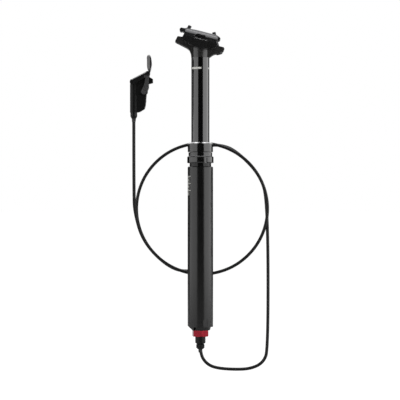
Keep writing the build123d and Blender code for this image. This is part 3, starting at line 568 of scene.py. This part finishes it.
def extruded_hose(name, color):
    """Nylon hose: a satin skin with a soft even grain."""
    material, finish = material_with(name)
    fine = finish.noise(nylon_grain)
    cloud = finish.noise(grain=0.03)
    finish.surface(
        base_color=finish.mix(cloud, shade(color, 0.85), shade(color, 1.2)),
        roughness=fine * 0.08 + cloud * 0.08 + 0.34,
        specular_ior_level=0.3,
        normal=finish.bump(fine, nylon_depth),
    )
    return material


def jaw_metal(name, color, centre, tilt):
    """Grey anodised clamp, with a pale painted highlight on the low rib between the jaws, where shade
    falls.
    """
    rib_rise = 0.004
    rib_blend = 0.0004
    rib_side = 0.0128
    rib_end = 0.0098
    sharp = 0.00001
    material, finish = material_with(name)
    fine = finish.noise(blast_grain)
    cloud = finish.noise(metal_cloud, 3.0)
    along, across, up = finish.axis_parts()
    rise = (up - centre.z) * math.cos(tilt) + (along - centre.x) * math.sin(tilt)
    low = finish.between(rib_rise - rise, 0.0, rib_blend)
    middle = finish.between(rib_side**2 - across * across, 0.0, sharp)
    ends = finish.between(rib_end**2 - along * along, 0.0, sharp)
    # Mask of the painted highlight on the rib: a pale colour there, and no metal
    bare_lip_and_rib_highlight = low * middle * ends
    grey = finish.mix(cloud, shade(color, 0.86), shade(color, 1.16))
    finish.surface(
        base_color=finish.mix(bare_lip_and_rib_highlight, grey, painted_rib_highlight),
        roughness=fine * 0.1 + cloud * 0.06 + 0.22,
        metallic=1 - bare_lip_and_rib_highlight,
        normal=finish.bump(fine, blast_depth),
    )
    return material


def lever_with_painted_highlight(name, dark, pale, pivot):
    """Anodised lever: a paddle and bridge of a dark tone, and the limbs beside the pivot painted paler
    as a painted highlight.
    """
    limb_rear = (-0.0006, 0.0002)
    limb_top = (0.02, 0.024)
    hub_top = (0.006, 0.009)
    material, finish = material_with(name)
    fine = finish.noise(blast_grain)
    cloud = finish.noise(metal_cloud, 3.0)
    along, across, up = finish.axis_parts()
    rise = up - pivot.z
    # Mask of the painted highlight: the limbs beside the pivot below the bridge, and the hub
    below_bridge = 1 - finish.between(rise, *limb_top)
    limb = finish.between(along - pivot.x, *limb_rear) * below_bridge
    hub = 1 - finish.between(rise, *hub_top)
    share = finish.between(limb + hub, 0.0, 1.0)
    finish.surface(
        base_color=finish.mix(share, shade(dark, 1.0), shade(pale, 1.0)),
        roughness=fine * 0.08 + cloud * 0.06 + 0.18,
        coat_weight=1.0,
        coat_roughness=0.16,
        normal=finish.bump(fine, blast_depth),
    )
    return material


def printed(name, color):
    """Screen-printed ink with slightly uneven cover."""
    material, finish = material_with(name)
    fine = finish.noise(ink_grain, 3.0)
    finish.surface(
        base_color=finish.mix(fine, shade(color, 0.9), shade(color, 1.05)),
        roughness=fine * 0.1 + 0.4,
    )
    return material


def clear_selection():
    """Deselect every object."""
    for thing in bpy.context.view_layer.objects:
        thing.select_set(False)


def activate(piece):
    """Make a piece the only selected and active object."""
    clear_selection()
    piece.select_set(True)
    bpy.context.view_layer.objects.active = piece


def apply_modifiers(piece):
    """Apply a piece's modifiers in their order."""
    activate(piece)
    for modifier in list(piece.modifiers):
        bpy.ops.object.modifier_apply(modifier=modifier.name)


def apply_place(piece):
    """Move a piece's place, turn and scale into its mesh."""
    activate(piece)
    bpy.ops.object.transform_apply(location=True, rotation=True, scale=True)


def give(piece, material):
    """Put one material on all of a piece."""
    if not piece.data.materials:
        piece.data.materials.append(material)
    for index in range(len(piece.material_slots)):
        piece.material_slots[index].material = material


def finish_nodes(material, *names):
    """Put one material on each of the named CAD nodes."""
    for name in names:
        if nodes.get(name) is None:
            raise RuntimeError(f"the frame has no node {name}")
        give(nodes[name], material)


def block(name, size, middle, turn=(0.0, 0.0, 0.0)):
    """Box of three sizes round a point, turned by degrees about the axes."""
    clear_selection()
    rotation = [math.radians(angle) for angle in turn]
    bpy.ops.mesh.primitive_cube_add(size=1.0, location=middle, rotation=rotation)
    box = bpy.context.object
    box.name = name
    box.scale = size
    apply_place(box)
    return box


def cut(piece, tool):
    """Cut a tool's shape from a piece and drop the tool."""
    boolean = piece.modifiers.new("Cut", "BOOLEAN")
    boolean.operation = "DIFFERENCE"
    boolean.solver = "EXACT"
    boolean.object = tool
    apply_modifiers(piece)
    mesh = tool.data
    bpy.data.objects.remove(tool)
    bpy.data.meshes.remove(mesh)


def clamp_up(finish):
    """Direction up across the clamp."""
    tilt = math.radians(finish.clamp_tilt)
    return Vector((math.sin(tilt), 0, math.cos(tilt)))


def round_rims(clamp, finish, half, top, radius):
    """Round off the two upper rims that run along the clamp at one half width and height."""
    low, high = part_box("upper_clamp")
    centre = Vector(finish.clamp_centre)
    up = clamp_up(finish)
    length = high[0] - low[0]
    for side in (-1, 1):
        axis = centre + up * (top - radius) + Vector((0, side * (half - radius), 0))
        corner = block("rim_corner", (length, radius * 2, radius * 2),
                       axis + (up + Vector((0, side, 0))) * radius, (0.0, finish.clamp_tilt, 0.0))
        bpy.ops.mesh.primitive_cylinder_add(
            vertices=96, radius=radius, depth=length * 2, location=axis,
            rotation=(0, math.radians(finish.clamp_tilt + 90), 0))
        rod = bpy.context.object
        apply_place(rod)
        cut(corner, rod)
        cut(clamp, corner)


def shape_upper(clamp, finish):
    """Bring rib and rail walls down to the lower half and round the rims of jaws and ridge."""
    centre = Vector(finish.clamp_centre)
    up = clamp_up(finish)
    for corner in clamp.data.vertices:
        rise = (corner.co - centre).dot(up)
        in_gap = abs(rise) < finish.jaw_gap / 2 + touch
        if in_gap and (abs(corner.co.y) > finish.groove_side or rise < 0):
            corner.co -= up * (rise + finish.jaw_gap / 2 - finish.jaw_seam)
    round_rims(clamp, finish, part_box("upper_clamp")[1][1], finish.jaw_top, finish.jaw_round)
    round_rims(clamp, finish, finish.ridge_half, finish.ridge_top, finish.ridge_round)


def close_cradle(head, finish):
    """Bring the head's cradle up to the lower half of the clamp."""
    centre = Vector(finish.clamp_centre) + clamp_up(finish) * finish.cradle_rise
    for corner in head.data.vertices:
        arm = Vector((corner.co.x - centre.x, 0, corner.co.z - centre.z))
        if abs(arm.length - finish.cradle_radius) < touch:
            corner.co -= arm.normalized() * (finish.cradle_gap - finish.seam)


def face_lever(lever, finish):
    """Cut the facets beside the paddle's thumb face and along the bridge's upper rims."""
    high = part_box("lever")[1]
    height = high[2] - finish.facet_low
    turn = math.radians(finish.facet_turn)
    slope = math.radians(finish.bridge_slope)
    length = finish.bridge_length
    for side in (-1, 1):
        outwards = Vector((-math.sin(turn), side * math.cos(turn), 0))
        edge = Vector((finish.facet_edge, side * high[1], finish.facet_low + height))
        facet = block("paddle_facet", (height, height, height * 2), edge + outwards * height / 2,
                      (0.0, 0.0, side * finish.facet_turn))
        cut(lever, facet)
    for side in (-1, 1):
        outwards = Vector((-math.sin(slope), side, math.cos(slope))).normalized()
        rim = Vector(finish.bridge_rim) * Vector((1, side, 1))
        middle = rim + outwards * (length / 2 - finish.bridge_facet)
        facet = block("bridge_facet", (length, length, length), middle,
                      (-side * 45.0, -finish.bridge_slope, 0.0))
        cut(lever, facet)


def mark_outer_edges(piece, limit):
    """Give a bevel weight to the edges that stand out and turn by more than a limit."""
    mesh = bmesh.new()
    mesh.from_mesh(piece.data)
    weight = mesh.edges.layers.float.new("bevel_weight_edge")
    for edge in mesh.edges:
        stands_out = len(edge.link_faces) == 2 and edge.is_convex
        if stands_out and edge.calc_face_angle() > math.radians(limit):
            edge[weight] = 1.0
    mesh.to_mesh(piece.data)
    mesh.free()


def rounded_copy(node, body, width, material, limit=32.0, shaping=None):
    """Copy of a CAD node whose outer edges are rounded, which stands for it."""
    weld = 0.000002
    flat = math.radians(0.5)
    smooth = math.radians(35.0)
    clear_selection()
    source = nodes[node]
    piece = source.copy()
    piece.data = source.data.copy()
    piece.parent = None
    piece.matrix_world = source.matrix_world.copy()
    piece.name = f"{node}_rounded"
    for key in list(piece.keys()):
        del piece[key]
    bpy.context.scene.collection.objects.link(piece)
    activate(piece)
    bpy.ops.object.mode_set(mode="EDIT")
    bpy.ops.mesh.select_all(action="SELECT")
    bpy.ops.mesh.remove_doubles(threshold=weld)
    bpy.ops.mesh.dissolve_limited(angle_limit=flat)
    bpy.ops.object.mode_set(mode="OBJECT")
    if shaping is not None:
        shaping(piece, bpy.context.scene.seatpost_finish)
    mark_outer_edges(piece, limit)
    bevel = piece.modifiers.new("Edge rounding", "BEVEL")
    bevel.width = width
    bevel.segments = 3
    bevel.limit_method = "WEIGHT"
    bevel.miter_outer = "MITER_ARC"
    apply_modifiers(piece)
    bpy.ops.object.shade_smooth_by_angle(angle=smooth)
    flats = piece.modifiers.new("Flat faces", "WEIGHTED_NORMAL")
    flats.keep_sharp = True
    flats.weight = 80
    apply_modifiers(piece)
    give(piece, material)
    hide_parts(node)
    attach(piece, body)


class SEATPOST_OT_stage(bpy.types.Operator):
    """Camera, soft lamps, white backdrop and floor"""

    bl_idname = "seatpost.stage"
    bl_label = "Stage"

    def execute(self, context):
        stage = context.scene.seatpost_stage
        aim = Vector(stage.aim)
        bpy.ops.object.camera_add(
            location=aim + Vector((0, -stage.camera_distance, 0)), rotation=(math.pi / 2, 0, 0))
        camera = context.object
        camera.data.sensor_fit = "HORIZONTAL"
        camera.data.angle = 2 * math.atan(stage.view_width / 2 / stage.camera_distance)
        context.scene.camera = camera
        for side in panels:
            self.add_panel(stage, side)
        self.add_floor(context, stage)
        self.add_world(context, stage)
        context.scene.view_settings.view_transform = "Standard"
        return {"FINISHED"}

    def add_panel(self, stage, side):
        """Soft lamp of one panel that faces the post's middle."""
        azimuth, elevation, width = panels[side]
        turn = math.radians(azimuth)
        rise = math.radians(elevation)
        flat = stage.lamp_distance * math.cos(rise)
        height = stage.lamp_distance * math.sin(rise)
        place = Vector((flat * math.sin(turn), -flat * math.cos(turn), height))
        bpy.ops.object.light_add(type="AREA", location=panel_middle + place)
        lamp = bpy.context.object
        lamp.name = f"{side}_panel"
        lamp.rotation_euler = (-place).to_track_quat("-Z", "Y").to_euler()
        lamp.data.shape = "RECTANGLE"
        lamp.data.size = width
        lamp.data.size_y = stage.lamp_height if elevation < low_panel else width
        brightness = getattr(stage, f"{side}_brightness")
        lamp.data.energy = brightness * math.pi * lamp.data.size * lamp.data.size_y

    def add_floor(self, context, stage):
        """Pale floor that shows white to the camera and keeps part of the shadow."""
        bpy.ops.mesh.primitive_plane_add(size=floor_side, location=(0, 0, cad_low.z - stage.floor_drop))
        floor = context.object
        floor.name = "floor"
        apply_place(floor)
        material, finish = material_with("pale floor")
        rays = finish.add("ShaderNodeLightPath")
        plain = finish.add("ShaderNodeBsdfDiffuse", None, {"Color": floor_grey})
        white = finish.add("ShaderNodeEmission", None, {
            "Color": (1.0, 1.0, 1.0, 1.0),
            "Strength": floor_white,
        })
        seen = Number(finish, rays.outputs["Is Camera Ray"]) * floor_share
        blend = finish.add("ShaderNodeMixShader", None, {
            0: seen,
            1: plain.outputs[0],
            2: white.outputs[0],
        })
        finish.add("ShaderNodeOutputMaterial", None, {"Surface": blend.outputs[0]})
        give(floor, material)
        floor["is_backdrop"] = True

    def add_world(self, context, stage):
        """White backdrop for the camera and for reflections from behind, and even light elsewhere."""
        world = bpy.data.worlds.new("white backdrop")
        world.use_nodes = True
        context.scene.world = world
        finish = Finish(world.node_tree)
        rays = finish.add("ShaderNodeLightPath")
        camera = Number(finish, rays.outputs["Is Camera Ray"])
        mirrored = Number(finish, rays.outputs["Is Glossy Ray"])
        through = Number(finish, rays.outputs["Is Transmission Ray"])
        coordinates = finish.add("ShaderNodeTexCoord")
        parts = finish.add("ShaderNodeSeparateXYZ", None, {"Vector": coordinates.outputs["Generated"]})
        behind = finish.between(Number(finish, parts.outputs["Y"]), backdrop_from, backdrop_full)
        soft = 1 - (camera + mirrored + through)
        reflected = (mirrored + through) * (behind * backdrop_bright + backdrop_dim)
        strength = camera + reflected + soft * stage.room_brightness
        light = finish.add("ShaderNodeBackground", None, {
            "Color": (1.0, 1.0, 1.0, 1.0),
            "Strength": strength,
        })
        finish.add("ShaderNodeOutputWorld", None, {"Surface": light.outputs[0]})


class SEATPOST_OT_hose(bpy.types.Operator):
    """Hydraulic hose along its route, from the remote to the foot"""

    bl_idname = "seatpost.hose"
    bl_label = "Hose"

    def execute(self, context):
        hose = context.scene.seatpost_hose
        curve = bpy.data.curves.new("hydraulic_hose", "CURVE")
        curve.dimensions = "3D"
        curve.bevel_depth = hose.diameter / 2
        curve.bevel_resolution = 6
        curve.resolution_u = 14
        curve.use_fill_caps = True
        spline = curve.splines.new("NURBS")
        spline.points.add(len(hose_route) - 1)
        for point, place in zip(spline.points, hose_route):
            point.co = (*(Vector(place) * mm), 1.0)
        spline.order_u = 3
        spline.use_endpoint_u = True
        piece = bpy.data.objects.new("hydraulic_hose", curve)
        context.scene.collection.objects.link(piece)
        curve.materials.append(extruded_hose("hose black", context.scene.seatpost_finish.hose_black))
        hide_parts("hose")
        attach(piece, "outer")
        return {"FINISHED"}


class SEATPOST_OT_sleeves(bpy.types.Operator):
    """Tapered sleeves where the hose enters the remote and the foot"""

    bl_idname = "seatpost.sleeves"
    bl_label = "Hose sleeves"

    def execute(self, context):
        material = moulded("sleeve rubber", (0.02, 0.02, 0.02), 0.6)
        self.add_sleeve(context, "remote_sleeve", "remote_gland", material)
        self.add_sleeve(context, "foot_sleeve", "hose_nut", material)
        return {"FINISHED"}

    def add_sleeve(self, context, name, carrier, material):
        """Sleeve with three ribs that narrows from the piece that carries it down the hose."""
        play = 0.00008
        wall = 0.0008
        ribs = 3
        pinch = 0.9
        swell = 1.06
        softness = 0.00012
        smooth = math.radians(50.0)
        steps = ribs * 2
        hose = context.scene.seatpost_hose
        inner = hose.diameter / 2 + play
        outer = hose.diameter / 2 + wall
        low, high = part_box(carrier)
        clear_selection()
        bpy.ops.mesh.primitive_circle_add(
            vertices=40, radius=outer, fill_type="NOTHING",
            location=((low[0] + high[0]) / 2, 0, low[2]))
        sleeve = context.object
        sleeve.name = name
        bpy.ops.object.mode_set(mode="EDIT")
        bpy.ops.mesh.select_all(action="SELECT")
        for step in range(steps):
            down = (0, 0, -hose.sleeve_length / steps)
            bpy.ops.mesh.extrude_region_move(TRANSFORM_OT_translate={"value": down})
            share = pinch if step % 2 == 0 else swell
            bpy.ops.transform.resize(value=(share, share, 1.0))
        scale = inner / (outer * pinch**ribs * swell**ribs)
        bpy.ops.mesh.extrude_region_move(TRANSFORM_OT_translate={"value": (0, 0, 0)})
        bpy.ops.transform.resize(value=(scale, scale, 1.0))
        bpy.ops.object.mode_set(mode="OBJECT")
        bevel = sleeve.modifiers.new("Soft ribs", "BEVEL")
        bevel.width = softness
        bevel.segments = 2
        apply_place(sleeve)
        apply_modifiers(sleeve)
        bpy.ops.object.shade_smooth_by_angle(angle=smooth)
        give(sleeve, material)
        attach(sleeve, "outer")


class SEATPOST_OT_tubes(bpy.types.Operator):
    """Finishes of the two tubes, the foot and the collar stack"""

    bl_idname = "seatpost.tubes"
    bl_label = "Tubes and collar"

    def execute(self, context):
        finish = context.scene.seatpost_finish
        satin = drawn("satin tube black", finish.tube_black, 0.22)
        gloss = drawn("gloss tube black", finish.gloss_black, 0.09, coat=0.9, depth=0.0000006)
        neck_height = 0.0044
        lip_height = 0.0011
        neck_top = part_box("outer_tube")[1][2] + neck_height
        lip_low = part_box("seal_cap")[1][2] - lip_height
        finish_nodes(satin, "outer_tube")
        finish_nodes(gloss, "inner_tube")
        # The collar's neck below neck_top is left dull as painted shade for its recess
        collar = turned_collar("collar black", finish.tube_black, painted_shade_top=neck_top)
        cap = turned_collar("cap black", finish.tube_black, bare_from=lip_low)
        finish_nodes(collar, "collar", "lock_ring")
        finish_nodes(cap, "seal_cap")
        band = turned("turned bright", (0.12, 0.12, 0.122), 0.42, metallic=1.0)
        finish_nodes(band, "collar_band")
        finish_nodes(blasted("foot black", finish.tube_black, 0.24), "foot_cap")
        rubber = moulded("seal rubber", (0.02, 0.02, 0.02), 0.55)
        foam = moulded("oiled foam", (0.22, 0.22, 0.2), 0.85)
        finish_nodes(rubber, "wiper_seal", "piston_seal", "floating_seal", "rod_seal")
        finish_nodes(foam, "foam_ring")
        return {"FINISHED"}


class SEATPOST_OT_forgings(bpy.types.Operator):
    """Head and rail clamp with rounded forged edges"""

    bl_idname = "seatpost.forgings"
    bl_label = "Head and clamp"

    def execute(self, context):
        finish = context.scene.seatpost_finish
        forged = blasted("forged black", finish.forged_black, 0.34, coat=0.3)
        lower = blasted("clamp black", finish.clamp_black, 0.27)
        tilt = math.radians(finish.clamp_tilt)
        jaw = jaw_metal("jaw grey", finish.jaw_grey, Vector(finish.clamp_centre), tilt)
        head_round = finish.edge_round * 1.6
        clamp_round = finish.edge_round * 0.8
        rounded_copy("head", "post", head_round, forged,
                     limit=12.0, shaping=close_cradle)
        rounded_copy("lower_clamp", "clamp", clamp_round, lower)
        rounded_copy("upper_clamp", "clamp", clamp_round, jaw, shaping=shape_upper)
        return {"FINISHED"}


class SEATPOST_OT_fasteners(bpy.types.Operator):
    """Clamp bolts, barrel nuts, washers, air valve and bleed screw"""

    bl_idname = "seatpost.fasteners"
    bl_label = "Fasteners"

    def execute(self, context):
        oxide = blasted("black oxide steel", (0.06, 0.06, 0.062), 0.34, metallic=1.0)
        bright = blasted("ground steel", (0.55, 0.55, 0.56), 0.24, metallic=1.0)
        finish_nodes(oxide, "rear_bolt", "front_bolt", "rear_nut", "front_nut", "bleed_screw")
        finish_nodes(bright, "rear_washer", "front_washer", "pivot_pin", "return_spring", "poppet",
                     "poppet_spring", "foot_ring")
        brass = turned("valve brass", (0.7, 0.52, 0.24), 0.3, metallic=1.0)
        alloy = turned("turned alloy", (0.6, 0.6, 0.61), 0.3, metallic=1.0)
        finish_nodes(brass, "air_valve", "guide_keys")
        finish_nodes(alloy, "shaft", "main_piston", "piston_nut", "seal_head", "floating_piston")
        polymer = moulded("bushing polymer", (0.08, 0.12, 0.09), 0.5)
        plastic = moulded("cap plastic", (0.03, 0.03, 0.03), 0.5)
        finish_nodes(polymer, "upper_bushing", "lower_bushing")
        finish_nodes(plastic, "valve_cap", "plunger", "reservoir_cover")
        return {"FINISHED"}


class SEATPOST_OT_coupling(bpy.types.Operator):
    """Red coupling, hose fitting and hose nut below the foot"""

    bl_idname = "seatpost.coupling"
    bl_label = "Coupling"

    def execute(self, context):
        finish = context.scene.seatpost_finish
        coupling_round = 0.0002
        red = blasted("red anodised", finish.anodised_red, 0.2, metallic=1.0, coat=0.2)
        fitting = turned("fitting black", (0.004, 0.0043, 0.0043), 0.26, shine=0.22)
        rounded_copy("coupling", "outer", coupling_round, red)
        finish_nodes(fitting, "hose_fitting", "hose_nut", "remote_gland")
        return {"FINISHED"}


class SEATPOST_OT_remote(bpy.types.Operator):
    """Remote's housing and thumb lever"""

    bl_idname = "seatpost.remote"
    bl_label = "Remote"

    def execute(self, context):
        finish = context.scene.seatpost_finish
        housing_round = 0.0006
        lever_round = 0.0005
        # Paler grey of the painted highlight on the lever's limbs, and the paddle's own dark tone
        limb_highlight_grey = (0.045, 0.045, 0.046)
        paddle_black = (0.004, 0.004, 0.0042)
        housing = blasted("housing black", finish.clamp_black, 0.3, shine=0.14)
        pin_low, pin_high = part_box("pivot_pin")
        pivot = (Vector(pin_low) + Vector(pin_high)) / 2
        grey = lever_with_painted_highlight("lever grey", paddle_black, limb_highlight_grey, pivot)
        rounded_copy("remote_body", "outer", housing_round, housing)
        rounded_copy("lever", "lever_body", lever_round, grey, shaping=face_lever)
        return {"FINISHED"}


class SEATPOST_OT_marks(bpy.types.Operator):
    """Printed depth scale on the outer tube and height line on the inner tube"""

    bl_idname = "seatpost.marks"
    bl_label = "Printed marks"

    def execute(self, context):
        marks = context.scene.seatpost_marks
        ink = printed("pale ink", context.scene.seatpost_finish.print_pale)
        outer_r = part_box("outer_tube")[1][0]
        for index in range(marks.tick_count):
            width = long_tick if index % long_every == 0 else short_tick
            height = marks.tick_top - index * marks.tick_pitch
            self.add_arc(context, f"depth_tick_{index}", outer_r, scale_start, scale_start + width,
                         height, tick_tall, ink, "outer")
        inner_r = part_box("inner_tube")[1][0]
        for name, (start, end, tall) in height_bands.items():
            self.add_arc(context, name, inner_r, start, end, marks.line_height, tall, ink, "post")
        return {"FINISHED"}

    def add_arc(self, context, name, radius, start, end, height, tall, material, body):
        """Thin band of ink round a tube, from one angle to another, with an edge every 3 degrees."""
        ink = context.scene.seatpost_marks.ink
        weld = 0.000001
        steps = max(4, round((end - start) / 3))
        clear_selection()
        bpy.ops.mesh.primitive_plane_add(size=1.0, location=(0, 0, 0))
        band = context.object
        band.name = name
        bpy.ops.object.mode_set(mode="EDIT")
        bpy.ops.mesh.select_all(action="SELECT")
        bpy.ops.mesh.delete(type="ONLY_FACE")
        mesh = bmesh.from_edit_mesh(band.data)
        corners = sorted(mesh.verts, key=lambda corner: (corner.co.x, corner.co.y))
        turn = math.radians(start)
        for corner, rise in zip(corners, (-tall / 2, tall / 2)):
            corner.co = (radius * math.cos(turn), radius * math.sin(turn), height + rise)
        bmesh.ops.delete(mesh, geom=corners[2:], context="VERTS")
        bmesh.update_edit_mesh(band.data)
        bpy.ops.mesh.select_all(action="SELECT")
        bpy.ops.mesh.spin(
            steps=steps, angle=-math.radians(end - start), center=(0, 0, 0), axis=(0, 0, 1),
            use_auto_merge=False)
        bpy.ops.mesh.select_all(action="SELECT")
        bpy.ops.mesh.remove_doubles(threshold=weld)
        bpy.ops.object.mode_set(mode="OBJECT")
        mesh = bmesh.new()
        mesh.from_mesh(band.data)
        for face in mesh.faces:
            outwards = face.calc_center_median()
            outwards.z = 0
            if face.normal.dot(outwards) < 0:
                face.normal_flip()
        mesh.to_mesh(band.data)
        mesh.free()
        solid = band.modifiers.new("Ink", "SOLIDIFY")
        solid.thickness = ink
        solid.offset = 1.0
        apply_modifiers(band)
        give(band, material)
        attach(band, body)


class SEATPOST_PT_panel(bpy.types.Panel):
    """Sidebar panel with the seatpost's sizes, colours and steps"""

    bl_idname = "SEATPOST_PT_panel"
    bl_label = "Dropper seatpost"
    bl_space_type = "VIEW_3D"
    bl_region_type = "UI"
    bl_category = "Seatpost"

    def draw(self, context):
        layout = self.layout
        for group in property_groups:
            box = layout.box()
            box.label(text=group.__doc__)
            holder = getattr(context.scene, property_groups[group])
            for name in group.__annotations__:
                box.prop(holder, name)
        for operator in operators:
            layout.operator(operator.bl_idname)


property_groups = {
    SeatpostStage: "seatpost_stage",
    SeatpostHose: "seatpost_hose",
    SeatpostFinish: "seatpost_finish",
    SeatpostMarks: "seatpost_marks",
}
operators = [
    SEATPOST_OT_stage,
    SEATPOST_OT_hose,
    SEATPOST_OT_sleeves,
    SEATPOST_OT_tubes,
    SEATPOST_OT_forgings,
    SEATPOST_OT_fasteners,
    SEATPOST_OT_coupling,
    SEATPOST_OT_remote,
    SEATPOST_OT_marks,
]


def register():
    for group, name in property_groups.items():
        bpy.utils.register_class(group)
        setattr(bpy.types.Scene, name, bpy.props.PointerProperty(type=group))
    for operator in operators:
        bpy.utils.register_class(operator)
    bpy.utils.register_class(SEATPOST_PT_panel)


def unregister():
    bpy.utils.unregister_class(SEATPOST_PT_panel)
    for operator in reversed(operators):
        bpy.utils.unregister_class(operator)
    for group, name in property_groups.items():
        delattr(bpy.types.Scene, name)
        bpy.utils.unregister_class(group)


def main():
    register()
    bpy.ops.seatpost.stage()
    bpy.ops.seatpost.hose()
    bpy.ops.seatpost.sleeves()
    bpy.ops.seatpost.tubes()
    bpy.ops.seatpost.forgings()
    bpy.ops.seatpost.fasteners()
    bpy.ops.seatpost.coupling()
    bpy.ops.seatpost.remote()
    bpy.ops.seatpost.marks()


if __name__ == "__main__":
    main()
